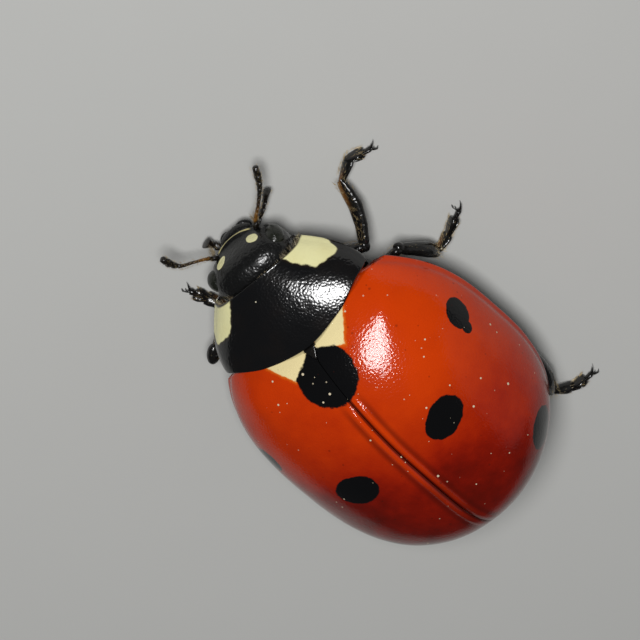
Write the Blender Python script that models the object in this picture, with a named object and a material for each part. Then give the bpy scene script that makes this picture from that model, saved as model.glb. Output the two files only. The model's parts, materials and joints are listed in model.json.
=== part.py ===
"""Seven-spot ladybird at life size, standing with its head to -Y and its right side to -X.

Every named part of the body is one closed solid. The shell is a dome whose half width
and height follow two smooth profiles along the body, and the plates under it are the same
dome with an inset. Lengths are modelled in millimetres and turned into metres at the end.
Heights are measured from the lower rim of the wing cases until the model is set down.
"""

import math

import bmesh
import bpy
from mathutils import Matrix, Vector

MM = 0.001
GAP = 0.03
WELD = 1e-5
SHARP_ANGLE = 40

RIM_HEIGHT = 1.15
FLOOR = -RIM_HEIGHT
SHELL_THICKNESS = 0.5
CORE_INSET = SHELL_THICKNESS + GAP

# Dome of the wing cases. A share is a value at the start of the dome over its largest one.
DOME_START_Y = -0.32
DOME_END_Y = 5.21
DOME_HALF_WIDTH = 2.69
DOME_WIDEST_Y = 2.18
DOME_START_WIDTH_SHARE = 0.80
DOME_FRONT_WIDTH_POWER = 3.15
DOME_REAR_WIDTH_POWER = 2.50
DOME_HEIGHT = 2.43
DOME_HIGHEST_Y = 3.00
DOME_START_HEIGHT_SHARE = 0.628
DOME_FRONT_HEIGHT_POWER = 2.90
DOME_REAR_HEIGHT_POWER = 2.96
# Below 1, the cross-section is fuller at its sides than an ellipse.
DOME_FULLNESS = 0.97
# The rim curves up by this much from its lowest place to the tip.
RIM_RISE = 0.19

# Front edge of the wing cases: hollowed in the middle, with rounded shoulders forward.
BASE_MIDDLE_Y = -0.62
BASE_SHOULDER_Y = -0.78
BASE_SHOULDER_X = 1.30
BASE_ROUNDS = 16
SHOULDER_ROUND_X = 1.55
SHOULDER_ROUNDING = 1.15

# Small triangle between the wing cases.
SCUTELLUM_HALF_WIDTH = 0.16
SCUTELLUM_LENGTH = 0.24
SCUTELLUM_RIDGE = 0.01
SCUTELLUM_TIP_SHARE = 0.08

# Neck shield.
SHIELD_FRONT_Y = -2.12
SHIELD_CORNER_Y = -1.92
SHIELD_FRONT_HALF_WIDTH = 1.06
SHIELD_REAR_HALF_WIDTH = 1.80
SHIELD_WIDENING = 1.45
SHIELD_SIDE_BULGE = 0.02
SHIELD_FRONT_TOP = 0.53
SHIELD_REAR_TOP = 1.31
SHIELD_ARCH = 0.09
SHIELD_FRONT_EDGE = -0.13
SHIELD_REAR_EDGE = 0.36
SHIELD_FULLNESS = 0.94
SHIELD_LIP = 0.02
# Towards its rear corners the shield stands off from the wing cases.
SHIELD_CORNER_GAP = 0.14
SHIELD_CORNER_START_X = 0.95
SHIELD_CORNER_FULL_X = 1.60

# Head, eyes and mouth.
HEAD_CENTRE = Vector((0.0, -1.92, -0.18))
HEAD_RADII = Vector((0.86, 0.62, 0.70))
MUZZLE_CENTRE = Vector((0.0, -2.20, -0.48))
MUZZLE_RADII = Vector((0.46, 0.36, 0.34))
EYE_CENTRE = Vector((0.70, -2.12, -0.10))
EYE_RADII = Vector((0.22, 0.27, 0.31))
EYE_TURN = 28.0
LABRUM_CENTRE = Vector((0.0, -2.42, -0.70))
LABRUM_RADII = Vector((0.38, 0.24, 0.20))

# Underside. The belly hangs below the rim and flattens towards its sides and its end.
SIDE_DROP = 0.04
BELLY_DEPTH = 0.66
BELLY_FLATNESS = 0.7
BELLY_END_RISE = 0.75
WAIST_Y = 1.78
CORE_END_SHARE = 0.985
CHEST_START_Y = -1.87
CHEST_DEPTH = 0.66
CHEST_FRONT_SHARE = 0.80
CHEST_FRONT_WIDTH_SHARE = 0.74
CHEST_REAR_WIDTH_SHARE = 0.82
CHEST_SIDE_DEPTH = 0.30
CHEST_FLATNESS = 0.6

# Legs: radii, and the joints from the hip to the claws. The right legs reach out from the
# body and the left ones are drawn in.
FEMUR_RADIUS = 0.23
FEMUR_SWELL = 0.035
TIBIA_KNEE_RADIUS = 0.22
TIBIA_ANKLE_RADIUS = 0.24
TIBIA_START_SHARE = 0.12
TARSUS_RADIUS = 0.235
TARSUS_TAPER = 0.02
TARSUS_START_SHARE = 0.25
FOOT = FLOOR + 0.20
LEGS = {
    "front_right": ((-0.50, -1.22, -0.66), (-1.70, -0.66, -0.34), (-2.12, -1.80, -0.85),
                    (-2.72, -1.91, FOOT), (-3.08, -1.86, FOOT)),
    "front_left": ((0.50, -1.22, -0.66), (2.10, -0.78, -0.34), (1.32, -1.30, -0.84),
                   (1.45, -1.62, FOOT), (1.62, -1.98, FOOT)),
    "middle_right": ((-0.78, 0.02, -0.68), (-2.14, -0.10, -0.36), (-2.44, 0.84, -0.85),
                     (-2.88, 0.62, FOOT), (-3.22, 0.36, FOOT)),
    "middle_left": ((0.78, 0.02, -0.68), (2.14, 0.30, -0.36), (2.40, 1.40, -0.85),
                    (2.66, 1.82, FOOT), (2.86, 2.22, FOOT)),
    "hind_right": ((-0.86, 1.72, -0.66), (-2.34, 3.52, -0.40), (-1.76, 4.88, -0.84),
                   (-2.18, 5.14, FOOT), (-2.56, 5.26, FOOT)),
    "hind_left": ((0.86, 1.72, -0.66), (2.28, 3.40, -0.40), (1.92, 4.72, -0.84),
                  (2.10, 5.14, FOOT), (2.34, 5.46, FOOT)),
}

# Feelers and palps: radii, then root, bend and tip.
ANTENNA_RADIUS = 0.22
ANTENNA_CLUB_RADIUS = 0.27
ANTENNAE = {
    "right": ((-0.52, -2.40, -0.40), (-0.92, -2.86, -0.30), (-1.40, -3.42, -0.36)),
    "left": ((0.52, -2.40, -0.40), (0.84, -2.84, -0.24), (1.12, -3.32, -0.06)),
}
PALP_ROOT_RADIUS = 0.17
PALP_TIP_RADIUS = 0.22
PALPS = {
    "right": ((-0.40, -2.28, -0.86), (-0.72, -2.44, -0.90), (-1.06, -2.62, -0.88)),
    "left": ((0.40, -2.28, -0.86), (0.56, -2.46, -0.90), (0.72, -2.66, -0.88)),
}

SIDES = {"right": -1.0, "left": 1.0}

# Bends of the two rings that round off each end of a limb, in degrees.
CAP_BENDS = (45.0, 80.0)

BLACK = (0.012, 0.011, 0.010)
RED = (0.55, 0.035, 0.008)
BROWN = (0.10, 0.05, 0.02)


# ---------------------------------------------------------------- profiles


def profile(y, peak, peak_y, start_share, front_power, rear_power, inset):
    """Height or half width of the dome at y, made smaller by an even inset."""
    if y >= peak_y:
        share = (y - peak_y) / (DOME_END_Y - inset - peak_y)
        return (peak - inset) * math.sqrt(max(0.0, 1.0 - share**rear_power))
    share = (peak_y - y) / (peak_y - DOME_START_Y)
    return peak * (1.0 - (1.0 - start_share) * share**front_power) - inset


def dome_half_width(y, inset=0.0):
    """Half width of the dome at y."""
    return profile(y, DOME_HALF_WIDTH, DOME_WIDEST_Y, DOME_START_WIDTH_SHARE,
                   DOME_FRONT_WIDTH_POWER, DOME_REAR_WIDTH_POWER, inset)


def dome_height(y, inset=0.0):
    """Height of the dome's ridge at y."""
    return profile(y, DOME_HEIGHT, DOME_HIGHEST_Y, DOME_START_HEIGHT_SHARE,
                   DOME_FRONT_HEIGHT_POWER, DOME_REAR_HEIGHT_POWER, inset)


def rim_level(y):
    """Level of the dome's rim, lowest at its widest place."""
    return RIM_RISE * ((y - DOME_WIDEST_Y) / (DOME_END_Y - DOME_WIDEST_Y)) ** 2


def ease(start, end, value):
    """From 0 at the start to 1 at the end, level at both."""
    share = min(1.0, max(0.0, (value - start) / (end - start)))
    return share * share * (3.0 - 2.0 * share)


def base_line(x):
    """Place along the body of the wing cases' front edge, at x from the middle."""
    share = ease(0.0, BASE_SHOULDER_X, abs(x))
    rounding = SHOULDER_ROUNDING * max(0.0, abs(x) - SHOULDER_ROUND_X) ** 2
    return BASE_MIDDLE_Y + (BASE_SHOULDER_Y - BASE_MIDDLE_Y) * share + rounding


def dome_point(along, angle, inset=0.0, behind=0.0):
    """A point of the dome.

    along runs from 0 at the front edge to 1 at the tip, angle from the middle line down to
    the rim, and behind moves the front edge back.
    """
    across = math.copysign(abs(math.sin(angle)) ** DOME_FULLNESS, angle)
    upwards = max(0.0, math.cos(angle)) ** DOME_FULLNESS
    start = BASE_MIDDLE_Y
    for _ in range(BASE_ROUNDS):
        start = base_line(dome_half_width(start, inset) * across) + behind
    end = DOME_END_Y - inset
    y = start + (end - start) * math.sin(0.5 * math.pi * along)
    rim = rim_level(y)
    ridge = max(rim, dome_height(y, inset))
    return Vector((dome_half_width(y, inset) * across, y, rim + (ridge - rim) * upwards))


# ---------------------------------------------------------------- mesh helpers


def new_object(name, points, faces):
    """An object with the given mesh, in millimetres."""
    mesh = bpy.data.meshes.new(name)
    mesh.from_pydata([tuple(p) for p in points], [], faces)
    mesh.update()
    obj = bpy.data.objects.new(name, mesh)
    bpy.context.scene.collection.objects.link(obj)
    return obj


def edit(obj, *steps):
    """Run bmesh steps on an object's mesh, then weld it and turn its faces outwards."""
    work = bmesh.new()
    work.from_mesh(obj.data)
    for step in steps:
        step(work)
    bmesh.ops.remove_doubles(work, verts=work.verts[:], dist=WELD)
    bmesh.ops.recalc_face_normals(work, faces=work.faces[:])
    work.to_mesh(obj.data)
    work.free()
    return obj


def loft(name, rings):
    """A closed solid through rings of points, with a fan of triangles at each end."""
    count = len(rings[0])
    points = [p for ring in rings for p in ring]
    faces = []
    for i in range(len(rings) - 1):
        for j in range(count):
            k = (j + 1) % count
            faces.append((i * count + j, i * count + k,
                          (i + 1) * count + k, (i + 1) * count + j))
    for first in (0, (len(rings) - 1) * count):
        middle = len(points)
        points.append(sum((points[first + j] for j in range(count)), Vector()) / count)
        faces += [(first + j, first + (j + 1) % count, middle) for j in range(count)]
    return edit(new_object(name, points, faces))


def curve_through(joints, steps):
    """Points of a smooth curve through the joints, with some steps between each two."""
    ends = [2 * joints[0] - joints[1], *joints, 2 * joints[-1] - joints[-2]]
    out = []
    for a, b, c, d in zip(ends, ends[1:], ends[2:], ends[3:]):
        for i in range(steps):
            t = i / steps
            out.append(0.5 * (2 * b + (c - a) * t + (2 * a - 5 * b + 4 * c - d) * t**2
                              + (3 * b - a - 3 * c + d) * t**3))
    return out + [joints[-1]]


def rounded_end(place, outwards, radius):
    """Places and radii of the rings that round off the end of a limb, inner one first."""
    turns = [math.radians(bend) for bend in CAP_BENDS]
    return [(place + outwards * radius * math.sin(turn), radius * math.cos(turn))
            for turn in turns]


def limb(name, path, radii, sides=8, grow=0.0):
    """A round limb with rounded ends along a path, with a radius at each point.

    grow makes it thicker and longer all over, for use as a cutter.
    """
    heads = [(path[1] - path[0]).normalized()]
    heads += [(c - a).normalized() for a, c in zip(path, path[2:])]
    heads.append((path[-1] - path[-2]).normalized())
    stations = [(place, heads[0], radius) for place, radius
                in rounded_end(path[0], -heads[0], radii[0] + grow)[::-1]]
    stations += [(p, h, r + grow) for p, h, r in zip(path, heads, radii)]
    stations += [(place, heads[-1], radius) for place, radius
                 in rounded_end(path[-1], heads[-1], radii[-1] + grow)]
    rings = []
    for place, head, radius in stations:
        across = head.cross(Vector((0, 0, 1))).normalized()
        above = across.cross(head).normalized()
        rings.append([place + radius * (math.cos(a) * across + math.sin(a) * above)
                      for a in (2 * math.pi * j / sides for j in range(sides))])
    return loft(name, rings)


def ball(name, centre, radii, turn=0.0, columns=16, rows=10, grow=0.0):
    """An ellipsoid, turned by some degrees about the vertical through its centre."""
    work = bmesh.new()
    bmesh.ops.create_uvsphere(work, u_segments=columns, v_segments=rows, radius=1.0)
    size = Matrix.Diagonal((*(r + grow for r in radii), 1.0))
    place = Matrix.Translation(centre) @ Matrix.Rotation(math.radians(turn), 4, "Z")
    work.transform(place @ size)
    obj = new_object(name, [], [])
    work.to_mesh(obj.data)
    work.free()
    return obj


def combine(obj, operation, *others):
    """Join others to an object, or take them away from it, with exact Booleans."""
    for other in others:
        step = obj.modifiers.new("combine", "BOOLEAN")
        step.operation = operation
        step.solver = "EXACT"
        step.object = other
        graph = bpy.context.evaluated_depsgraph_get()
        mesh = bpy.data.meshes.new_from_object(obj.evaluated_get(graph))
        obj.modifiers.clear()
        obj.data = mesh
        bpy.data.objects.remove(other)
    return edit(obj)


def cut(obj, *cutters):
    """Take cutters away from an object."""
    return combine(obj, "DIFFERENCE", *cutters)


def slice_off(point, normal):
    """A step for edit: cut along a plane, drop what lies past it and close the cut."""

    def step(work):
        geometry = work.verts[:] + work.edges[:] + work.faces[:]
        found = bmesh.ops.bisect_plane(work, geom=geometry, dist=WELD, plane_co=point,
                                       plane_no=normal, clear_outer=True)
        rim = [e for e in found["geom_cut"] if isinstance(e, bmesh.types.BMEdge)]
        bmesh.ops.holes_fill(work, edges=rim, sides=0)

    return step


def finish(obj, name, colour, roughness):
    """Name an object, give it its own material and shade it smooth between its edges."""
    obj.name = name
    obj.data.name = name
    material = bpy.data.materials.new(name)
    material.use_nodes = True
    shader = material.node_tree.nodes["Principled BSDF"]
    shader.inputs["Base Color"].default_value = (*colour, 1.0)
    shader.inputs["Roughness"].default_value = roughness
    shader.inputs["Metallic"].default_value = 0.0
    obj.data.materials.clear()
    obj.data.materials.append(material)
    obj.data.shade_smooth()
    obj.data.set_sharp_from_angle(angle=math.radians(SHARP_ANGLE))
    return obj


def half_turn(columns):
    """Angles from the left rim over the top to the right rim."""
    return [math.radians(-90 + 180 * j / columns) for j in range(columns + 1)]


# ---------------------------------------------------------------- shell


def elytron(side, rows=20, columns=11):
    """One wing case: a thick curved shell between the middle line, the rim and the base."""

    def sheet(inset):
        grid = []
        for i in range(rows + 1):
            for j in range(columns + 1):
                p = dome_point(i / rows, 0.5 * math.pi * j / columns, inset)
                grid.append(Vector((side * (p.x + GAP / 2), p.y, p.z)))
        return grid

    points = sheet(0.0) + sheet(SHELL_THICKNESS)
    wide = columns + 1
    inner = (rows + 1) * wide
    faces = []
    for i in range(rows):
        for j in range(columns):
            corner = i * wide + j
            quad = (corner, corner + 1, corner + wide + 1, corner + wide)
            faces.append(quad)
            faces.append(tuple(inner + v for v in reversed(quad)))
        for edge in (i * wide, i * wide + columns):
            faces.append((edge, edge + wide, inner + edge + wide, inner + edge))
    for j in range(columns):
        faces.append((j, j + 1, inner + j + 1, inner + j))
    return edit(new_object("elytron", points, faces))


def scutellum(grow=0.0, steps=4):
    """The small triangle between the bases of the wing cases, as deep as they are thick."""
    front = BASE_MIDDLE_Y - grow
    tip = BASE_MIDDLE_Y + SCUTELLUM_LENGTH + 2 * grow
    rings = []
    for i in range(steps + 1):
        share = (1.0 - SCUTELLUM_TIP_SHARE) * i / steps
        y = front + (tip - front) * share
        half = (SCUTELLUM_HALF_WIDTH + grow) * (1.0 - share)
        top = dome_height(y) + grow
        low = dome_height(y) - SHELL_THICKNESS - grow
        rings.append([Vector((half, y, low)), Vector((half, y, top)),
                      Vector((0, y, top + SCUTELLUM_RIDGE)), Vector((-half, y, top)),
                      Vector((-half, y, low))])
    return loft("scutellum", rings)


def shield_rear(x):
    """Place along the body of the neck shield's rear edge, at x from the middle."""
    corner = ease(SHIELD_CORNER_START_X, SHIELD_CORNER_FULL_X, abs(x))
    return base_line(x) - GAP - SHIELD_CORNER_GAP * corner


def shield_point(along, angle):
    """A point of the neck shield's upper face, from its front edge (0) to its rear one (1)."""
    widening = 1.0 - (1.0 - along) ** SHIELD_WIDENING
    half = SHIELD_FRONT_HALF_WIDTH + (SHIELD_REAR_HALF_WIDTH - SHIELD_FRONT_HALF_WIDTH) * widening
    half += SHIELD_SIDE_BULGE * math.sin(math.pi * along)
    x = half * math.sin(angle)
    front = SHIELD_FRONT_Y + (SHIELD_CORNER_Y - SHIELD_FRONT_Y) * math.sin(angle) ** 2
    rear = shield_rear(x)
    edge = SHIELD_FRONT_EDGE + (SHIELD_REAR_EDGE - SHIELD_FRONT_EDGE) * along
    top = SHIELD_FRONT_TOP + (SHIELD_REAR_TOP - SHIELD_FRONT_TOP) * along
    top += SHIELD_ARCH * math.sin(math.pi * along)
    upwards = max(0.0, math.cos(angle)) ** SHIELD_FULLNESS
    return Vector((x, front + (rear - front) * along, edge + (top - edge) * upwards))


def pronotum(rows=10, columns=22):
    """The neck shield: domed above and flat underneath."""
    rings = []
    for i in range(rows + 1):
        upper = [shield_point(i / rows, angle) for angle in half_turn(columns)]
        lower = [Vector((p.x, p.y, upper[0].z - SHIELD_LIP)) for p in upper[-2:0:-1]]
        rings.append(upper + lower)
    return loft("pronotum", rings)


# ---------------------------------------------------------------- trunk


def belly_level(y, x, half):
    """Level of the underside at x from the middle, where the trunk is so wide on each side."""
    keel = max(0.0, 1.0 - (x / half) ** 2) ** BELLY_FLATNESS
    behind = max(0.0, (y - WAIST_Y) / (DOME_END_Y - WAIST_Y))
    depth = (BELLY_DEPTH - SIDE_DROP) * (1.0 - BELLY_END_RISE * behind**2)
    return rim_level(y) - SIDE_DROP - depth * keel


def core(rows=16, columns=12):
    """Hind thorax and abdomen in one: the dome, inset, with the belly hanging below it."""
    rings = []
    for i in range(rows + 1):
        along = CORE_END_SHARE * i / rows
        upper = [dome_point(along, angle, CORE_INSET, GAP) for angle in half_turn(columns)]
        half = upper[-1].x
        lower = [Vector((p.x, p.y, belly_level(p.y, p.x, half))) for p in upper[-2:0:-1]]
        rings.append(upper + lower)
    return loft("core", rings)


def prosternum(rows=5, columns=12):
    """Underside of the fore thorax, below the neck shield."""
    rings = []
    for i in range(rows + 1):
        along = i / rows
        edge = shield_point(along, math.radians(90))
        share = CHEST_FRONT_WIDTH_SHARE + (CHEST_REAR_WIDTH_SHARE - CHEST_FRONT_WIDTH_SHARE) * along
        half = edge.x * share
        depth = CHEST_DEPTH * (CHEST_FRONT_SHARE + (1.0 - CHEST_FRONT_SHARE) * along)
        side_level = edge.z - CHEST_SIDE_DEPTH
        upper = []
        lower = []
        for angle in half_turn(columns):
            x = half * math.sin(angle)
            y = CHEST_START_Y + (shield_rear(x) - CHEST_START_Y) * along
            keel = abs(math.cos(angle)) ** (2 * CHEST_FLATNESS)
            upper.append(Vector((x, y, edge.z - SHIELD_LIP - GAP)))
            lower.append(Vector((x, y, side_level - (side_level + depth) * keel)))
        rings.append(upper + lower[-2:0:-1])
    return loft("prosternum", rings)


# ---------------------------------------------------------------- head


def head(grow=0.0):
    """Head without eyes, wide and short, with its face sloping down to the mouth."""
    skull = ball("head", HEAD_CENTRE, HEAD_RADII, columns=20, rows=12, grow=grow)
    muzzle = ball("muzzle", MUZZLE_CENTRE, MUZZLE_RADII, grow=grow)
    return combine(skull, "UNION", muzzle)


def eye(side, grow=0.0):
    """One eye, set into the side of the head."""
    centre = Vector((side * EYE_CENTRE.x, EYE_CENTRE.y, EYE_CENTRE.z))
    return ball("eye", centre, EYE_RADII, turn=side * EYE_TURN, columns=12, rows=8, grow=grow)


def labrum(grow=0.0):
    """Upper lip, a low rounded plate in front of the mouth."""
    return ball("labrum", LABRUM_CENTRE, LABRUM_RADII, columns=14, rows=8, grow=grow)


def antenna(side):
    """One feeler: a stalk of even thickness and a club over its outer half."""
    path = curve_through([Vector(p) for p in ANTENNAE[side]], 4)
    last = len(path) - 1
    swell = ANTENNA_CLUB_RADIUS - ANTENNA_RADIUS
    radii = [ANTENNA_RADIUS + swell * max(0.0, 2 * i / last - 1.0) for i in range(last + 1)]
    return limb("antenna", path, radii)


def palp(side):
    """One mouth palp, broadest at its tip."""
    path = curve_through([Vector(p) for p in PALPS[side]], 3)
    last = len(path) - 1
    swell = PALP_TIP_RADIUS - PALP_ROOT_RADIUS
    return limb("palp", path, [PALP_ROOT_RADIUS + swell * i / last for i in range(last + 1)])


# ---------------------------------------------------------------- legs


def femur(leg, grow=0.0, steps=4):
    """Hip and thigh, thickest in the middle."""
    hip, knee = (Vector(p) for p in LEGS[leg][:2])
    shares = [i / steps for i in range(steps + 1)]
    path = [hip.lerp(knee, share) for share in shares]
    radii = [FEMUR_RADIUS + FEMUR_SWELL * math.sin(math.pi * share) for share in shares]
    return limb("femur", path, radii, grow=grow)


def tibia(leg, grow=0.0, steps=4):
    """Shin, from inside the knee to the ankle."""
    knee, ankle = (Vector(p) for p in LEGS[leg][1:3])
    start = knee.lerp(ankle, TIBIA_START_SHARE)
    shares = [i / steps for i in range(steps + 1)]
    swell = TIBIA_ANKLE_RADIUS - TIBIA_KNEE_RADIUS
    path = [start.lerp(ankle, share) for share in shares]
    return limb("tibia", path, [TIBIA_KNEE_RADIUS + swell * share for share in shares], grow=grow)


def tarsus(leg):
    """Foot, flat underneath where it stands."""
    ankle, lobe, tip = (Vector(p) for p in LEGS[leg][2:5])
    path = curve_through([ankle.lerp(lobe, TARSUS_START_SHARE), lobe, tip], 3)
    last = len(path) - 1
    radii = [TARSUS_RADIUS - TARSUS_TAPER * (i / last) ** 2 for i in range(last + 1)]
    sole = slice_off(Vector((0, 0, FLOOR)), Vector((0, 0, -1)))
    return edit(limb("tarsus", path, radii), sole)


# ---------------------------------------------------------------- assembly


def build_shell():
    """Wing cases, scutellum and neck shield."""
    for name, side in SIDES.items():
        finish(cut(elytron(side), scutellum(GAP)), f"elytron_{name}", RED, 0.2)
    finish(scutellum(), "scutellum", BLACK, 0.3)
    eyes = [eye(side, GAP) for side in SIDES.values()]
    finish(cut(pronotum(), head(GAP), *eyes), "pronotum", BLACK, 0.3)


def build_head():
    """Head, eyes, lip, feelers and palps, each cut to sit on the head."""
    eyes = [eye(side, GAP) for side in SIDES.values()]
    finish(cut(head(), *eyes, labrum(GAP)), "head", BLACK, 0.35)
    finish(labrum(), "labrum", BLACK, 0.3)
    for name, side in SIDES.items():
        finish(eye(side), f"eye_{name}", BLACK, 0.15)
        feeler = cut(antenna(name), head(GAP), eye(side, GAP))
        finish(feeler, f"antenna_{name}", BROWN, 0.5)
        mouth_feeler = cut(palp(name), head(GAP), labrum(GAP))
        finish(mouth_feeler, f"palp_{name}", BLACK, 0.4)


def build_trunk():
    """Underside of the body, with grooves where the thighs lie against it."""
    eyes = [eye(side, GAP) for side in SIDES.values()]
    fore_thighs = [femur(f"front_{side}", GAP) for side in SIDES]
    finish(cut(prosternum(), head(GAP), *eyes, *fore_thighs), "prosternum", BLACK, 0.4)
    cuts = {
        "thorax": slice_off(Vector((0, WAIST_Y - GAP / 2, 0)), Vector((0, 1, 0))),
        "abdomen": slice_off(Vector((0, WAIST_Y + GAP / 2, 0)), Vector((0, -1, 0))),
    }
    for name, waist in cuts.items():
        thighs = [femur(leg, GAP) for leg in LEGS]
        finish(cut(edit(core(), waist), *thighs), name, BLACK, 0.4)


def build_legs():
    """Six legs of three solids each, every one cut where the one before it ends."""
    for leg in LEGS:
        finish(femur(leg), f"femur_{leg}", BLACK, 0.4)
        finish(cut(tibia(leg), femur(leg, GAP)), f"tibia_{leg}", BLACK, 0.4)
        finish(cut(tarsus(leg), tibia(leg, GAP)), f"tarsus_{leg}", BLACK, 0.5)


def set_down():
    """Set the model on the floor in metres, with the middle of its box over the origin."""
    objects = [o for o in bpy.context.scene.objects if o.type == "MESH"]
    corners = []
    for axis in range(2):
        places = [v.co[axis] for o in objects for v in o.data.vertices]
        corners.append((min(places) + max(places)) / 2)
    shift = Matrix.Translation((-corners[0], -corners[1], RIM_HEIGHT))
    for obj in objects:
        obj.data.transform(Matrix.Scale(MM, 4) @ shift)
        obj.data.update()


def main():
    """Empty the scene and build the whole insect."""
    for obj in list(bpy.data.objects):
        bpy.data.objects.remove(obj)
    build_shell()
    build_head()
    build_trunk()
    build_legs()
    set_down()


main()
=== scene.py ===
"""Looks of a seven-spot ladybird: a still museum model at life size.

The insect stands with its head to -Y and its right side to -X. It is drawn in millimetres
from an origin on its middle line, at the level of the wing cases' rim. `Datum` finds that
origin in the frame, and every finished piece is brought from the drawing into the frame.
"""

from __future__ import annotations

import json
import logging
import math
import random
from collections.abc import Callable, Iterator, Sequence
from contextlib import contextmanager
from dataclasses import dataclass, field
from enum import Enum
from functools import reduce

import bpy
from mathutils import Matrix, Vector, noise

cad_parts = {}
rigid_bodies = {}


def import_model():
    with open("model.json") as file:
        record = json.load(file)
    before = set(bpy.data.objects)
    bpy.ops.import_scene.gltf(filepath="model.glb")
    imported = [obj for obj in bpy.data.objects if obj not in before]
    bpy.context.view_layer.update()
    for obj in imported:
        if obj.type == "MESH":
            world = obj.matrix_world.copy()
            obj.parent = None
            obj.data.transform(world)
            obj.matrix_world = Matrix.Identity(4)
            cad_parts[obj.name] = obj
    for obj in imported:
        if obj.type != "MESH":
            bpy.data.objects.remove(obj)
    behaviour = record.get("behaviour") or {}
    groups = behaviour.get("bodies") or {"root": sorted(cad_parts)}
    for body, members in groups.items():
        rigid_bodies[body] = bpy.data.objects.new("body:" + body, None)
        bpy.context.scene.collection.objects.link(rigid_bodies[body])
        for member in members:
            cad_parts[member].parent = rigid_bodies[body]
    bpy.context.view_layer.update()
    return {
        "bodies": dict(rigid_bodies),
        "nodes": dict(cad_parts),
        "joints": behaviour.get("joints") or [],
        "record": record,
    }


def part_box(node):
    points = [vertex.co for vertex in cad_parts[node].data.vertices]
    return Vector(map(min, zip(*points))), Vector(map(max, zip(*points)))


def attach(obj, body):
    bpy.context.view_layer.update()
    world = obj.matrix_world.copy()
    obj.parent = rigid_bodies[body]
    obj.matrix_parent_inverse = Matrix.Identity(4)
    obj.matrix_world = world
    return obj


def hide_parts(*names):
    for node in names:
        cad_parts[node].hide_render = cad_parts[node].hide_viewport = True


Thing = bpy.types.Object
Finish = bpy.types.Material
Pair = tuple[float, float]
Triple = tuple[float, float, float]
Table = tuple[Triple, ...]
Colour = Triple
# A form gives a place from two shares, and a push gives a distance from a point and its normal.
Form = Callable[[float, float], Vector]
Push = Callable[[Vector, Vector], float]

LOG = logging.getLogger("ladybird")
MM = 0.001
BODY = "root"
RIM_HEIGHT = 1.15  # of the wing cases over the floor
FLOOR = -RIM_HEIGHT
UP = Vector((0.0, 0.0, 1.0))
EDGE_LIGHT = "warm"  # the attribute that holds how much painted edge light a place on a leg takes
QUARTER = 0.5 * math.pi
CHITIN_IOR = 1.54


class Side(Enum):
    """A side of the insect, with its sign along X."""

    RIGHT = -1.0
    LEFT = 1.0

    @property
    def word(self) -> str:
        """The side as it is written in a piece's name."""
        return self.name.lower()


class Slot(Enum):
    """The record's finishes."""

    RED_SHELL = "red_shell"
    BLACK_SHELL = "black_shell"
    EYE = "eye"
    FEELER = "feeler"
    LEG = "leg"
    UNDERSIDE = "underside"


# ---------------- sums


def smooth(low: float, high: float, x: float) -> float:
    """A smooth step from 0 at low to 1 at high.

    Args:
        low: Where the step starts.
        high: Where the step is complete.
        x: The place asked for.

    Returns:
        The step's height there.
    """
    t = min(1.0, max(0.0, (x - low) / (high - low)))
    return t * t * (3.0 - 2.0 * t)


def bell(x: float) -> float:
    """A smooth bump, 1 at 0 and nearly 0 past 2."""
    return math.exp(-x * x)


def lerp(a: float, b: float, share: float) -> float:
    """The value a share of the way from a to b."""
    return a + (b - a) * share


def through(places: Sequence[Sequence[float]], steps: int) -> list[Vector]:
    """A smooth path through some places.

    Args:
        places: The places it passes.
        steps: How many pieces each stretch between two of them is cut into.

    Returns:
        The path's points, both ends included.
    """
    points = [Vector(place) for place in places]
    ends = [2 * points[0] - points[1], *points, 2 * points[-1] - points[-2]]
    path = []
    for a, b, c, d in zip(ends, ends[1:], ends[2:], ends[3:]):
        for i in range(steps):
            t = i / steps
            bend = (2 * a - 5 * b + 4 * c - d) * t**2 + (3 * b - a - 3 * c + d) * t**3
            path.append(0.5 * (2 * b + (c - a) * t + bend))
    return [*path, points[-1]]


def cross_frame(heading: Vector) -> Matrix:
    """Directions across, above and along a limb that heads somewhere, as rows.

    Args:
        heading: The way the limb heads.

    Returns:
        The three directions.
    """
    across = UP.cross(heading)
    if across.length < 1e-6:
        across = Vector((1.0, 0.0, 0.0))
    across.normalize()
    return Matrix((across, heading.cross(across).normalized(), heading))


@dataclass(frozen=True)
class Station:
    """One cross-section of a limb."""

    place: Vector
    wide: float
    thick: float


@dataclass(frozen=True)
class Lump:
    """A swelling that each side of the body has, as it lies on the left."""

    place: Triple
    radii: Triple
    turn: Triple = (0.0, 0.0, 0.0)
    segments: int = 32
    rings: int = 20


# ---------------- the insect's outline


@dataclass(frozen=True)
class Profile:
    """Half width or height of the dome along the body, with its peak somewhere between."""

    peak: float
    peak_y: float
    start_share: float
    front_power: float
    rear_power: float
    start_y: float = -0.32
    end_y: float = 5.21

    def at(self, y: float) -> float:
        """The profile's value at y.

        Args:
            y: The place along the body.

        Returns:
            The half width or height.
        """
        if y >= self.peak_y:
            share = (y - self.peak_y) / (self.end_y - self.peak_y)
            return self.peak * math.sqrt(max(0.0, 1.0 - share**self.rear_power))
        share = (self.peak_y - y) / (self.peak_y - self.start_y)
        return self.peak * (1.0 - (1.0 - self.start_share) * share**self.front_power)


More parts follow.
